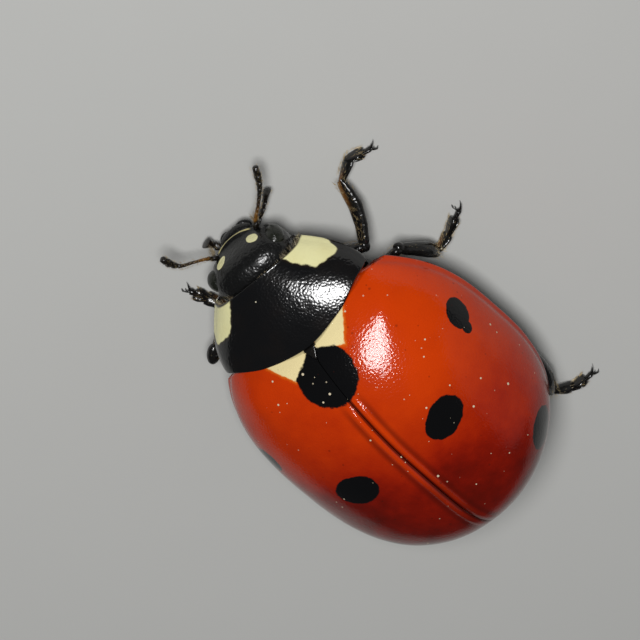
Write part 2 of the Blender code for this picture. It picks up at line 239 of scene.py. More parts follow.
@dataclass(frozen=True)
class Dome:
    """The wing cases' outer shape, which the plates under them follow."""

    width: Profile = Profile(2.69, 2.18, 0.8, 3.15, 2.5)
    height: Profile = Profile(2.43, 3.00, 0.628, 2.9, 2.96)
    fullness: float = 0.97
    rim_rise: float = 0.19
    base_middle_y: float = -0.62
    base_shoulder_y: float = -0.78
    base_shoulder_x: float = 1.3
    base_rounds: int = 16
    shoulder_round_x: float = 1.55
    shoulder_rounding: float = 1.15

    @property
    def end_y(self) -> float:
        """Where the wing cases end."""
        return self.width.end_y

    def base_line(self, x: float) -> float:
        """Place along the body of the wing cases' front edge at x.

        Args:
            x: The place across.

        Returns:
            The place along.
        """
        share = smooth(0.0, self.base_shoulder_x, abs(x))
        rounding = self.shoulder_rounding * max(0.0, abs(x) - self.shoulder_round_x) ** 2
        return lerp(self.base_middle_y, self.base_shoulder_y, share) + rounding

    def rim(self, y: float) -> float:
        """Level of the rim at y, lowest at its widest place."""
        away = (y - self.width.peak_y) / (self.end_y - self.width.peak_y)
        return self.rim_rise * away**2

    def point(self, along: float, angle: float, behind: float = 0.0) -> Vector:
        """A point of the dome.

        Args:
            along: 0 at the front edge, 1 at the tip.
            angle: 0 on the middle line, a quarter turn on the rim.
            behind: How far the front edge is moved back.

        Returns:
            The point in the drawing.
        """
        across = math.copysign(abs(math.sin(angle)) ** self.fullness, angle)
        upwards = max(0.0, math.cos(angle)) ** self.fullness
        start = self.base_middle_y
        for _ in range(self.base_rounds):
            start = self.base_line(self.width.at(start) * across) + behind
        y = start + (self.end_y - start) * math.sin(QUARTER * along)
        rim = self.rim(y)
        ridge = max(rim, self.height.at(y))
        return Vector((self.width.at(y) * across, y, rim + (ridge - rim) * upwards))

    def over(self, x: float, y: float) -> Vector:
        """The dome's point above a place in plan.

        Args:
            x: The place across.
            y: The place along.

        Returns:
            The point in the drawing.
        """
        power = 2.0 / self.fullness
        share = min(1.0, abs(x) / self.width.at(y))
        upwards = (1.0 - share**power) ** (1.0 / power)
        rim = self.rim(y)
        return Vector((x, y, rim + (self.height.at(y) - rim) * upwards))

    def frame_at(self, x: float, y: float) -> Matrix:
        """Directions along the body, across it and out of the dome at a place, as columns.

        Args:
            x: The place across.
            y: The place along.

        Returns:
            The three directions.
        """
        small = 0.01
        ahead = self.over(x, y + small) - self.over(x, y - small)
        aside = self.over(x + small, y) - self.over(x - small, y)
        out = aside.cross(ahead).normalized()
        ahead.normalize()
        return Matrix((ahead, out.cross(ahead), out)).transposed()


@dataclass(frozen=True)
class Shield:
    """The neck shield's upper face."""

    front_y: float = -2.12
    corner_y: float = -1.92
    front_half_width: float = 1.06
    rear_half_width: float = 1.8
    widening: float = 1.45
    side_bulge: float = 0.02
    front_top: float = 0.53
    rear_top: float = 1.31
    arch: float = 0.09
    front_edge: float = -0.13
    rear_edge: float = 0.36
    fullness: float = 0.94
    gap: float = 0.03
    corner_gap: float = 0.14
    corner_x: Pair = (0.95, 1.6)

    def point(self, dome: Dome, along: float, angle: float) -> Vector:
        """A point of the shield.

        Args:
            dome: The wing cases that it meets.
            along: 0 at its front edge, 1 at its rear edge.
            angle: 0 on the middle line, a quarter turn on its side edge.

        Returns:
            The point in the drawing.
        """
        widening = 1.0 - (1.0 - along) ** self.widening
        arch = math.sin(math.pi * along)
        half = lerp(self.front_half_width, self.rear_half_width, widening)
        x = (half + self.side_bulge * arch) * math.sin(angle)
        front = lerp(self.front_y, self.corner_y, math.sin(angle) ** 2)
        rear = dome.base_line(x) - self.gap - self.corner_gap * smooth(*self.corner_x, abs(x))
        edge = lerp(self.front_edge, self.rear_edge, along)
        top = lerp(self.front_top, self.rear_top, along) + self.arch * arch
        upwards = max(0.0, math.cos(angle)) ** self.fullness
        return Vector((x, lerp(front, rear, along), lerp(edge, top, upwards)))


@dataclass(frozen=True)
class Datum:
    """The drawing's origin in the frame, in metres."""

    place: Vector

    @classmethod
    def find(cls, dome: Dome) -> Datum:
        """Read the origin from the boxes of the frame's wing cases.

        Args:
            dome: The wing cases' shape.

        Returns:
            The origin.
        """
        low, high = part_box("elytron_left")
        right_low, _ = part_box("elytron_right")
        middle = 0.5 * (high.x + right_low.x)
        return cls(Vector((middle, high.y - dome.end_y * MM, low.z)))

    def bring(self, point: Vector) -> Vector:
        """A point of the drawing in the frame."""
        return self.place + Vector(point) * MM


# ---------------- the bench


@dataclass
class Bench:
    """Blender's modelling tools, used as by hand on one piece at a time."""

    datum: Datum
    merge: float = 1e-4
    kept: list[Thing] = field(default_factory=list)

    def clear(self) -> None:
        """Leave edit mode and let go of everything."""
        if bpy.context.object and bpy.context.object.mode != "OBJECT":
            bpy.ops.object.mode_set(mode="OBJECT")
        bpy.ops.object.select_all(action="DESELECT")

    def hold(self, *objects: Thing) -> None:
        """Select these objects only, the first of them active.

        Args:
            objects: The objects.
        """
        self.clear()
        for obj in objects:
            obj.select_set(True)
        bpy.context.view_layer.objects.active = objects[0]

    @contextmanager
    def shaping(self, obj: Thing) -> Iterator[None]:
        """Open a piece in edit mode with all of it selected, and close it afterwards.

        Args:
            obj: The piece.
        """
        self.hold(obj)
        bpy.ops.object.mode_set(mode="EDIT")
        bpy.ops.mesh.select_all(action="SELECT")
        yield
        bpy.ops.object.mode_set(mode="OBJECT")

    def outwards(self) -> None:
        """Turn the faces of the open piece outwards."""
        bpy.ops.mesh.select_all(action="SELECT")
        bpy.ops.mesh.normals_make_consistent(inside=False)

    def settle(self) -> Thing:
        """Apply the active object's place, turn and size to its mesh."""
        bpy.ops.object.transform_apply(location=True, rotation=True, scale=True)
        return bpy.context.object

    def ball(self, centre: Sequence[float], radii: Sequence[float],
             turn: Sequence[float] = (0.0, 0.0, 0.0), segments: int = 32, rings: int = 20) -> Thing:
        """An ellipsoid.

        Args:
            centre: Its middle.
            radii: Its three half lengths before it is turned.
            turn: Its turn about X, Y and Z, in degrees.
            segments: Faces round its equator.
            rings: Faces from pole to pole.

        Returns:
            The new object.
        """
        self.clear()
        bpy.ops.mesh.primitive_uv_sphere_add(segments=segments, ring_count=rings, radius=1.0,
                                             location=centre, rotation=[math.radians(a) for a in turn])
        bpy.context.object.scale = radii
        return self.settle()

    def lump(self, lump: Lump, side: Side) -> Thing:
        """A swelling on one side of the body.

        Args:
            lump: The swelling as it lies on the left.
            side: The side it is wanted on.

        Returns:
            The new object.
        """
        x, y, z = lump.place
        pitch, roll, yaw = lump.turn
        turn = (pitch, side.value * roll, side.value * yaw)
        return self.ball((side.value * x, y, z), lump.radii, turn, lump.segments, lump.rings)

    def sheet(self, columns: int, rows: int, form: Form) -> Thing:
        """A grid laid over a form.

        Args:
            columns: Faces along the form's first direction.
            rows: Faces along its second direction.
            form: Gives the place of a point from its two shares, 0 to 1.

        Returns:
            The new object, with its doubles merged and its faces one way round.
        """
        self.clear()
        bpy.ops.mesh.primitive_grid_add(x_subdivisions=columns, y_subdivisions=rows, size=1.0)
        sheet = bpy.context.object
        for vertex in sheet.data.vertices:
            vertex.co = form(vertex.co.x + 0.5, vertex.co.y + 0.5)
        with self.shaping(sheet):
            bpy.ops.mesh.remove_doubles(threshold=self.merge)
            self.outwards()
        return sheet

    def plate(self, columns: int, rows: int, form: Form, out: Vector,
              thickness: float, push: Push | None = None) -> Thing:
        """A plate with an even wall, its outer face laid over a form.

        Args:
            columns: Faces along the form's first direction.
            rows: Faces along its second direction.
            form: Gives the place of a point from its two shares, 0 to 1.
            out: The direction that most of its outer face looks in.
            thickness: The wall, added on the inside.
            push: Relief pressed into the outer face, as `press` takes it.

        Returns:
            The new object, a closed solid.
        """
        plate = self.sheet(columns, rows, form)
        total = sum((p.normal * p.area for p in plate.data.polygons), Vector())
        if total.dot(out) < 0.0:
            with self.shaping(plate):
                bpy.ops.mesh.flip_normals()
        if push:
            self.press(plate, push)
        self.hold(plate)
        wall = plate.modifiers.new("wall", "SOLIDIFY")
        wall.thickness = thickness
        wall.offset = -1.0
        bpy.ops.object.modifier_apply(modifier=wall.name)
        return plate

    def limb(self, stations: Sequence[Station], sides: int) -> Thing:
        """A limb drawn out of a disc, one cross-section after another.

        Args:
            stations: Its cross-sections, from root to tip.
            sides: Faces round it.

        Returns:
            The new object, a closed solid.
        """
        self.clear()
        path = [s.place for s in stations]
        heads = [(b - a).normalized() for a, b in zip(path, path[1:])]
        heads = [heads[0], *[(a + b).normalized() for a, b in zip(heads, heads[1:])], heads[-1]]
        first = stations[0]
        turn = cross_frame(heads[0]).transposed().to_euler()
        bpy.ops.mesh.primitive_circle_add(vertices=sides, radius=1.0, fill_type="NGON",
                                          location=first.place, rotation=turn)
        bpy.context.object.scale = (first.wide, first.thick, 1.0)
        limb = self.settle()
        with self.shaping(limb):
            for i in range(1, len(stations)):
                self.draw_out(stations[i - 1], stations[i], heads[i - 1], heads[i])
            self.outwards()
        return limb

    def draw_out(self, last: Station, here: Station, before: Vector, after: Vector) -> None:
        """Extrude an open limb's end face to its next cross-section.

        Args:
            last: The cross-section that it leaves.
            here: The one that it comes to.
            before: The limb's direction at the first.
            after: Its direction at the second.
        """
        step = tuple(here.place - last.place)
        bpy.ops.mesh.extrude_region_move(TRANSFORM_OT_translate={"value": step})
        axis = before.cross(after)
        if axis.length > 1e-6:
            frame = axis.normalized().to_track_quat("Z", "Y").to_matrix().transposed()
            bpy.ops.transform.rotate(value=-before.angle(after), orient_axis="Z", orient_type="GLOBAL",
                                     orient_matrix=frame, orient_matrix_type="GLOBAL",
                                     center_override=here.place)
        size = (here.wide / last.wide, here.thick / last.thick, 1.0)
        bpy.ops.transform.resize(value=size, orient_type="GLOBAL", orient_matrix=cross_frame(after),
                                 orient_matrix_type="GLOBAL", center_override=here.place)

    def join(self, objects: Sequence[Thing]) -> Thing:
        """Join objects into the first of them.

        Args:
            objects: The objects.

        Returns:
            The joined object.
        """
        self.hold(*objects)
        if len(objects) > 1:
            bpy.ops.object.join()
        return bpy.context.object

    def press(self, obj: Thing, push: Push) -> None:
        """Move each point along its normal, as with a sculpting thumb.

        Args:
            obj: The piece.
            push: Gives the distance outwards from a point and its normal.
        """
        moves = [push(v.co, v.normal) * v.normal for v in obj.data.vertices]
        for vertex, move in zip(obj.data.vertices, moves):
            vertex.co += move
        obj.data.update()

    def keep(self, obj: Thing, name: str, finish: Finish, slot: Slot,
             nodes: Sequence[str], angle: float = 50.0) -> Thing:
        """Bring a finished piece into the frame, dress it and let it ride on the body.

        Args:
            obj: The piece, in the drawing's millimetres.
            name: Its name.
            finish: Its material.
            slot: Not used.
            nodes: The frame's nodes that it stands for.
            angle: Edges sharper than this many degrees stay sharp.

        Returns:
            The same object.
        """
        self.hold(obj)
        obj.scale = (MM, MM, MM)
        obj.location = self.datum.place
        self.settle()
        bpy.ops.object.shade_smooth_by_angle(angle=math.radians(angle))
        obj.name = name
        obj.data.name = name
        obj.data.materials.clear()
        obj.data.materials.append(finish)
        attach(obj, BODY)
        if nodes:
            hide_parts(*nodes)
        self.kept.append(obj)
        LOG.info("%s: %d faces", name, len(obj.data.polygons))
        return obj


# ---------------- mixing materials


class Value:
    """A number that flows through a material, with Python's own operators."""

    def __init__(self, paint: Paint, socket: bpy.types.NodeSocket) -> None:
        """Wrap a socket of a material."""
        self.paint = paint
        self.socket = socket

    def _sum(self, operation: str, *values: Value | float) -> Value:
        """One Math node."""
        inputs = dict(enumerate(values))
        return self.paint.node("ShaderNodeMath", {"operation": operation}, inputs)

    def __add__(self, other: Value | float) -> Value:
        """Sum."""
        return self._sum("ADD", self, other)

    __radd__ = __add__

    def __sub__(self, other: Value | float) -> Value:
        """Difference."""
        return self._sum("SUBTRACT", self, other)

    def __rsub__(self, other: float) -> Value:
        """Difference, reflected."""
        return self._sum("SUBTRACT", other, self)

    def __mul__(self, other: Value | float) -> Value:
        """Product."""
        return self._sum("MULTIPLY", self, other)

    __rmul__ = __mul__

    def __pow__(self, other: float) -> Value:
        """Power."""
        return self._sum("POWER", self, other)

    def __abs__(self) -> Value:
        """Size without sign."""
        return self._sum("ABSOLUTE", self)

    def least(self, other: Value | float) -> Value:
        """The lesser of two."""
        return self._sum("MINIMUM", self, other)

    def most(self, other: Value | float) -> Value:
        """The greater of two."""
        return self._sum("MAXIMUM", self, other)

    def band(self, start: float, full: float, fading: float, end: float) -> Value:
        """1 between full and fading, and 0 before start and past end."""
        return self.step(start, full) * self.step(end, fading)

    def sway(self, size: float) -> Value:
        """The swing about 0 of a cloudy value about 0.5."""
        return (self - 0.5) * size

    def step(self, low: float, high: float) -> Value:
        """A smooth step.

        Args:
            low: Where it is 0.
            high: Where it is 1, which may be the lower of the two places.

        Returns:
            The step's height.
        """
        rising = low < high
        inputs = {"Value": self, "From Min": min(low, high), "From Max": max(low, high),
                  "To Min": float(not rising), "To Max": float(rising)}
        return self.paint.node("ShaderNodeMapRange", {"interpolation_type": "SMOOTHSTEP"}, inputs)


class Paint:
    """One material while it is mixed. Places in it are the drawing's millimetres."""

    def __init__(self, name: str, datum: Datum) -> None:
        """Start a material with one shader.

        Args:
            name: The material's name.
            datum: The drawing's origin, from which its patterns are placed.
        """
        self.material = bpy.data.materials.new(name)
        self.material.use_nodes = True
        self.tree = self.material.node_tree
        self.tree.nodes.clear()
        self.shader = self.tree.nodes.new("ShaderNodeBsdfPrincipled")
        output = self.tree.nodes.new("ShaderNodeOutputMaterial")
        self.tree.links.new(self.shader.outputs["BSDF"], output.inputs["Surface"])
        spot = self.node("ShaderNodeTexCoord", {}, {}, "Object")
        self.place = self.node("ShaderNodeVectorMath", {"operation": "MULTIPLY_ADD"},
                               {0: spot, 1: [1.0 / MM] * 3, 2: list(-datum.place / MM)})
        self.x, self.y, self.z = (self.node("ShaderNodeSeparateXYZ", {}, {0: self.place}, axis)
                                  for axis in "XYZ")

    def node(self, kind: str, settings: dict[str, object], inputs: dict[str | int, object],
             output: str | int = 0) -> Value:
        """Add any node.

        Args:
            kind: The node's type.
            settings: Its own settings, set before anything is linked.
            inputs: Values or links of its sockets, by name or number.
            output: The socket that is wanted.

        Returns:
            That socket's value.
        """
        node = self.tree.nodes.new(kind)
        for name, value in settings.items():
            setattr(node, name, value)
        for key, value in inputs.items():
            if isinstance(value, Value):
                self.tree.links.new(value.socket, node.inputs[key])
            else:
                node.inputs[key].default_value = value
        return Value(self, node.outputs[output])

    def noise(self, scale: float, detail: float = 2.0, roughness: float = 0.5) -> Value:
        """Cloudy noise about 0.5, with so many clouds to a millimetre."""
        return self.node("ShaderNodeTexNoise", {}, {"Vector": self.place, "Scale": scale,
                                                    "Detail": detail, "Roughness": roughness})

    def ragged(self, size: float, scale: float, detail: float = 2.0, roughness: float = 0.5) -> Value:
        """A wander of this size about 0, which makes an edge ragged."""
        return self.noise(scale, detail, roughness).sway(size)

    def cells(self, scale: float, feature: str = "F1", output: str = "Distance") -> Value:
        """Cells, so many to a millimetre."""
        return self.node("ShaderNodeTexVoronoi", {"feature": feature},
                         {"Vector": self.place, "Scale": scale}, output)

    def blob(self, centre: Sequence[float], frame: Matrix, radii: Sequence[float]) -> Value:
        """Distance from a centre, counted in radii, so that it is 1 at the blob's edge.

        Args:
            centre: The blob's middle.
            frame: Its own directions, as columns.
            radii: Its half lengths along them.

        Returns:
            The distance.
        """
        inputs = {"Vector": self.place, "Location": list(centre),
                  "Rotation": list(frame.to_euler()), "Scale": list(radii)}
        inside = self.node("ShaderNodeMapping", {"vector_type": "TEXTURE"}, inputs)
        return self.node("ShaderNodeVectorMath", {"operation": "LENGTH"}, {0: inside}, "Value")

    def attribute(self, name: str) -> Value:
        """A piece's own attribute."""
        return self.node("ShaderNodeAttribute", {"attribute_name": name}, {}, "Fac")

    def blend(self, share: Value | float, first: Sequence[float] | Value,
              second: Sequence[float] | Value) -> Value:
        """A colour between two others.

        Args:
            share: 0 for the first, 1 for the second.
            first: One colour.
            second: The other.

        Returns:
            The blended colour.
        """
        first, second = (c if isinstance(c, Value) else (*c, 1.0) for c in (first, second))
        return self.node("ShaderNodeMix", {"data_type": "RGBA"}, {0: share, 6: first, 7: second}, 2)

    def specks(self, scale: float, size: float, share: float) -> Value:
        """Sparse round specks.

        Args:
            scale: Cells to a millimetre.
            size: Greatest radius of a speck, as a share of a cell.
            share: How many of the cells hold one.

        Returns:
            1 on a speck and 0 elsewhere.
        """
        near = self.cells(scale)
        pick = self.node("ShaderNodeSeparateColor", {}, {0: self.cells(scale, output="Color")}, "Red")
        room = (share - pick) * (size / share)
        return (room - near).step(0.0, 0.02)

    def wear(self, colour: Value | Sequence[float], roughness: Value | float,
             height: Value | None = None, depth: float = 0.0, **fixed: float) -> Finish:
        """Connect the shader.

        Args:
            colour: Base colour.
            roughness: Roughness.
            height: Relief, 0 to 1.
            depth: Depth of the relief in millimetres.
            fixed: Other sockets that are the same all over, by name with _ for a space.

        Returns:
            The finished material.
        """
        inputs = self.shader.inputs
        for name, value in (("Base Color", colour), ("Roughness", roughness)):
            if isinstance(value, Value):
                self.tree.links.new(value.socket, inputs[name])
            else:
                inputs[name].default_value = value if name == "Roughness" else (*value, 1.0)
        if height is not None:
            bump = self.node("ShaderNodeBump", {}, {"Height": height, "Distance": depth * MM}, "Normal")
            self.tree.links.new(bump.socket, inputs["Normal"])
        for name, value in fixed.items():
            inputs[name.replace("_", " ")].default_value = value
        return self.material


# ---------------- finishes


@dataclass(frozen=True)
class Spot:
    """A marking placed in plan, with its half lengths along and across the body."""

    x: float
    y: float
    along: float
    across: float
    turn: float = 0.0


@dataclass(frozen=True)
class Netting:
    """The relief of chitin, wrinkles with pits between them, which breaks up its highlights."""

    wrinkles: float
    pits: float
    pit_share: float
    pit_walls: Pair = (0.1, 0.6)
    detail: float = 3.0
    roughness: float = 0.6

    def wrinkle(self, paint: Paint) -> Value:
        """The wrinkles alone."""
        return paint.noise(self.wrinkles, self.detail, self.roughness)

    def relief(self, paint: Paint) -> Value:
        """Height of the net, 0 to 1."""
        pit = paint.cells(self.pits, "SMOOTH_F1").step(*self.pit_walls)
        return self.wrinkle(paint) * (1.0 - self.pit_share) + pit * self.pit_share


@dataclass(frozen=True)
class RedShell:
    """Glossy orange-red chitin with seven black spots and two cream marks at its base."""

    # Orange, crimson and the darkest red carry the shell's own clouds of tone and also painted shade
    # towards the rear. The darkest red also paints the seam's painted shade and its dark line.
    orange: Colour = (0.66, 0.05, 0.0015)
    crimson: Colour = (0.3, 0.007, 0.0015)
    shade_and_seam_red: Colour = (0.06, 0.004, 0.0015)
    black: Colour = (0.004, 0.004, 0.0045)
    cream: Colour = (0.9, 0.76, 0.4)
    amber: Colour = (0.8, 0.22, 0.012)
    rim_brown: Colour = (0.035, 0.006, 0.003)
    dust: Colour = (0.7, 0.6, 0.42)
    spots: tuple[Spot, ...] = (
        Spot(0.04, -0.16, 0.68, 0.6),
        Spot(-2.41, 0.99, 0.32, 0.28, -39.0), Spot(-2.37, 1.28, 0.13, 0.13),
        Spot(2.41, 1.00, 0.32, 0.29, 39.0),
        Spot(-1.1, 1.88, 0.35, 0.48, 18.0), Spot(1.23, 2.02, 0.36, 0.483),
        Spot(-1.92, 4.04, 0.4, 0.44, -27.0), Spot(1.92, 4.00, 0.4, 0.46, 27.0),
    )
    spot_thickness: float = 0.6
    spot_ragged: float = 0.38
    # Painted shade: how strongly the shell darkens towards the left side and the rear, and over what range.
    darker_x: float = 0.11
    darker_y: float = 0.24
    darker_reach: Pair = (-0.25, 0.98)
    # Where the seam's ridges take their painted highlight, and where the painted shade beside them lies.
    ridge: tuple[float, ...] = (0.03, 0.06, 0.13, 0.17)
    gutter: tuple[float, ...] = (0.15, 0.2, 0.21, 0.32)
    freckles: Triple = (13.0, 0.26, 0.3)
    pores: Triple = (7.0, 0.2, 0.3)
    coarse_dust: Triple = (5.0, 0.16, 0.4)
    fine_dust: Triple = (8.5, 0.16, 0.2)
    netting: Netting = Netting(15.0, 24.0, 0.6, (0.1, 0.7), 2.0)
    roughness: float = 0.12
    depth: float = 0.0026
    ior: float = 1.36

    def ground(self, paint: Paint, dome: Dome, fine: Value) -> Value:
        """The shell's colour: orange that turns crimson in soft clouds, with painted shade that darkens it
        towards the rear and the left side.

        Args:
            paint: The material.
            dome: The wing cases' shape.
            fine: Small clouds.

        Returns:
            The colour, with its dark rim.
        """
        # Painted shade: darker towards the rear and the left side, as if the light fell from the front
        # right.
        rear = (paint.y * self.darker_y + paint.x * self.darker_x).step(*self.darker_reach)
        depth = rear * 0.85 + paint.noise(0.55, detail=3.0).sway(0.9) + fine.sway(0.3)
        colour = paint.blend(depth.step(-0.25, 0.95), self.orange, self.crimson)
        colour = paint.blend((depth + 0.1).step(0.6, 1.2) * 0.85, colour, self.shade_and_seam_red)
        rim_away = (paint.y - dome.width.peak_y) * (1.0 / (dome.end_y - dome.width.peak_y))
        margin = paint.z - rim_away * rim_away * dome.rim_rise
        colour = paint.blend(margin.step(0.4, 0.05) * 0.25, colour, self.crimson)
        return paint.blend(margin.step(0.04, 0.015) * 0.9, colour, self.rim_brown)

    def seam(self, paint: Paint, colour: Value) -> Value:
        """The seam: a painted highlight on its raised ridges, painted shade beside them, and a dark line
        between them that is partly the seam's own dark colour and partly a painted shadow of the gap.

        Args:
            paint: The material.
            colour: The shell's colour.

        Returns:
            The colour with the seam in it.
        """
        aside = abs(paint.x)
        open_seam = paint.y.step(0.2, 0.9)
        # Painted highlight: the ridges are lightened to orange, most towards the front.
        ridge = aside.band(*self.ridge) * open_seam
        colour = paint.blend(ridge * paint.y.step(4.6, 1.0) * 0.55, colour, self.orange)
        # Painted shade beside the ridges.
        shade = aside.band(*self.gutter) * open_seam
        colour = paint.blend(shade * 0.5, colour, self.shade_and_seam_red)
        # The dark line: partly the seam's own colour and partly a painted shadow in the gap between the
        # wing cases.
        line = aside.step(0.05, 0.028) * paint.z.step(0.5, 0.8)
        return paint.blend(line * 0.8, colour, self.shade_and_seam_red)

    def spot_mask(self, paint: Paint, dome: Dome) -> Value:
        """The black spots, with slightly ragged edges.

        Args:
            paint: The material.
            dome: The wing cases' shape.

        Returns:
            1 inside a spot and 0 elsewhere.
        """
        ragged = paint.ragged(self.spot_ragged, 2.8, 7.0, 0.7)
        inside = []
        for spot in self.spots:
            turn = Matrix.Rotation(math.radians(spot.turn), 3, "Z")
            frame = dome.frame_at(spot.x, spot.y) @ turn
            radii = (spot.along, spot.across, self.spot_thickness)
            away = paint.blob(dome.over(spot.x, spot.y), frame, radii)
            inside.append((away + ragged).step(1.03, 0.97))
        return reduce(Value.most, inside)

    def cream_reach(self, paint: Paint) -> Value:
        """How far a place lies inside the cream marks at the base, in millimetres.

        Args:
            paint: The material.

        Returns:
            The distance, below 0 outside.
        """
        aside = abs(paint.x)
        inner = aside * 0.44 - paint.y - 0.6
        outer = -0.32 - paint.y - (aside - 0.62) * 1.1
        return inner.least(outer * 0.8) + paint.ragged(0.1, 9.0, 3.0)

    def mix(self, datum: Datum, dome: Dome) -> Finish:
        """The finished material.

        Args:
            datum: The drawing's origin.
            dome: The wing cases' shape.

        Returns:
            The material.
        """
        paint = Paint("red_shell", datum)
        fine = paint.noise(3.2, detail=4.0, roughness=0.6)
        colour = self.seam(paint, self.ground(paint, dome, fine))
        spots = self.spot_mask(paint, dome)
        colour = paint.blend(spots, colour, self.black)
        reach = self.cream_reach(paint)
        fuzz = reach.step(-0.07, 0.05) * (1.0 - spots)
        colour = paint.blend(fuzz * 0.8, colour, self.amber)
        cream = reach.step(0.0, 0.035) * abs(paint.x).step(0.1, 0.13)
        colour = paint.blend(cream, colour, self.cream)
        freckles = paint.specks(*self.freckles) * fuzz.least(1.0) * reach.step(0.16, 0.06)
        colour = paint.blend(freckles * 0.75, colour, self.rim_brown)
        colour = paint.blend(paint.specks(*self.pores) * 0.35, colour, self.rim_brown)
        dust = paint.specks(*self.coarse_dust).most(paint.specks(*self.fine_dust) * 0.6)
        colour = paint.blend(dust, colour, self.dust)
        gloss = self.roughness + fine.sway(0.06) + dust * 0.45
        relief = self.netting.relief(paint) + dust * 0.8
        return paint.wear(colour, gloss, relief, self.depth, IOR=self.ior)


@dataclass(frozen=True)
class ShieldShell:
    """Glossy black chitin of the neck shield, with a cream patch at each front corner."""

    black: Colour = (0.0045, 0.0045, 0.005)
    brown: Colour = (0.02, 0.01, 0.004)
    cream: Colour = (0.86, 0.82, 0.44)
    stain: Colour = (0.66, 0.56, 0.2)
    dust: Colour = (0.6, 0.55, 0.4)
    specks: Triple = (5.0, 0.12, 0.2)
    netting: Netting = Netting(15.0, 22.0, 0.6, (0.1, 0.7), 2.0)
    roughness: float = 0.16
    depth: float = 0.0036
    ior: float = 1.56
    edge_slope: float = 0.53
    fold_start: float = 0.06
    fold_top: float = 0.1

    def patch_reach(self, paint: Paint, shield: Shield) -> Value:
        """How far a place lies inside a cream patch.

        Args:
            paint: The material.
            shield: The shield's shape.

        Returns:
            The distance in millimetres, below 0 outside.
        """
        aside = abs(paint.x)
        rear = (aside - 1.05) * 0.36 - 1.565 - paint.y
        inner = (aside - 0.68 - (paint.y + 2.0) * 0.82) * 0.72
        front = paint.y + 2.09 - aside * aside * 0.175
        level = (paint.y - shield.corner_y) * self.edge_slope + shield.front_edge
        outer = (paint.z - level + 0.02 - (paint.y + 1.6).most(0.0) * 0.9) * 0.6
        ragged = paint.ragged(0.1, 5.0, 3.0)
        reach = self.soft_least(self.soft_least(rear, inner, 0.07), outer, 0.04) + ragged
        early = (1.0 - (paint.y - shield.corner_y) * 1.08).most(0.0) ** shield.widening
        half = shield.rear_half_width - (shield.rear_half_width - shield.front_half_width) * early
        outside = (aside - half + self.fold_start).most(paint.z - level - self.fold_top)
        return reach.least(front).least(outside)

    @staticmethod
    def soft_least(first: Value, second: Value, rounding: float) -> Value:
        """The smaller of two values, with the change-over rounded."""
        gap = first - second
        return (first + second - (gap * gap + rounding * rounding) ** 0.5) * 0.5

    def mix(self, datum: Datum, shield: Shield) -> Finish:
        """The finished material.

        Args:
            datum: The drawing's origin.
            shield: The shield's shape.

        Returns:
            The material.
        """
        paint = Paint("shield_shell", datum)
        clouds = paint.noise(2.2, detail=3.0)
        colour = paint.blend(clouds.step(0.4, 0.75) * 0.12, self.black, self.brown)
        reach = self.patch_reach(paint, shield)
        patch = reach.step(-0.012, 0.012)
        rind = reach.step(-0.04, 0.0) * (1.0 - patch)
        colour = paint.blend(rind * 0.6, colour, self.brown)
        tint = paint.noise(2.5, detail=3.0).step(0.35, 0.8) * 0.25
        colour = paint.blend(patch, colour, paint.blend(tint, self.cream, self.stain))
        dust = paint.specks(*self.specks)
        colour = paint.blend(dust, colour, self.dust)
        gloss = self.roughness + clouds.sway(0.08) + patch * 0.1 + dust * 0.4
        return paint.wear(colour, gloss, self.netting.relief(paint), self.depth, IOR=self.ior)


@dataclass(frozen=True)
class HeadShell:
    """Grainy black chitin of the head, with two cream spots and a pale edge over the mouth."""

    black: Colour = (0.005, 0.005, 0.005)
    cream: Colour = (0.84, 0.8, 0.44)
    brow_x: float = 0.395
    brow_z: float = -0.1
    brow_high: float = 0.13
    brow_wide: float = 0.118
    brow_lean: float = 0.25
    edge_level: float = -0.405
    edge_sag: float = 0.12
    edge_width: float = 0.022
    edge_colour: Colour = (0.5, 0.44, 0.2)
    netting: Netting = Netting(15.0, 18.0, 0.55, (0.12, 0.55), 3.0, 0.65)
    roughness: float = 0.27
    depth: float = 0.0065

    def mix(self, datum: Datum) -> Finish:
        """The finished material.

        Args:
            datum: The drawing's origin.

        Returns:
            The material.
        """
        paint = Paint("head_shell", datum)
        aside = abs(paint.x)
        high = paint.z - self.brow_z
        across = (aside - self.brow_x - high * self.brow_lean) * (1.0 / self.brow_wide)
        above = high * (1.0 / self.brow_high)
        away = (across * across + above * above) ** 0.5 + paint.ragged(0.25, 9.0, 3.0)
        spot = away.step(1.06, 0.94) * paint.y.step(-2.2, -2.3)
        level = paint.z - self.edge_level - aside * aside * self.edge_sag
        edge = abs(level).step(self.edge_width, self.edge_width * 0.6) * aside.step(0.43, 0.36)
        colour = paint.blend(edge * paint.y.step(-2.36, -2.42), self.black, self.edge_colour)
        colour = paint.blend(spot, colour, self.cream)
        gloss = self.roughness + self.netting.wrinkle(paint).sway(0.15)
        return paint.wear(colour, gloss, self.netting.relief(paint), self.depth, IOR=CHITIN_IOR)


@dataclass(frozen=True)
class Chitin:
    """Plain black chitin, clouded with brown."""

    name: str = "black_shell"
    dark: Colour = (0.006, 0.0055, 0.005)
    warm: Colour = (0.03, 0.016, 0.007)
    warmth: float = 0.2
    cloud_scale: float = 3.0
    cloud_edges: Pair = (0.42, 0.75)
    netting: Netting = Netting(33.6, 24.0, 0.5)
    depth: float = 0.004
    roughness: float = 0.18
    gloss_sway: float = 0.14

    def mix(self, datum: Datum) -> Finish:
        """The finished material.

        Args:
            datum: The drawing's origin.

        Returns:
            The material.
        """
        paint = Paint(self.name, datum)
        clouds = paint.noise(self.cloud_scale, detail=4.0, roughness=0.6)
        colour = self.colour(paint, clouds)
        gloss = self.roughness + clouds.sway(self.gloss_sway)
        return paint.wear(colour, gloss, self.netting.relief(paint), self.depth, IOR=CHITIN_IOR)

    def colour(self, paint: Paint, clouds: Value) -> Value:
        """Black, with brown where the clouds are thick."""
        return paint.blend(clouds.step(*self.cloud_edges) * self.warmth, self.dark, self.warm)


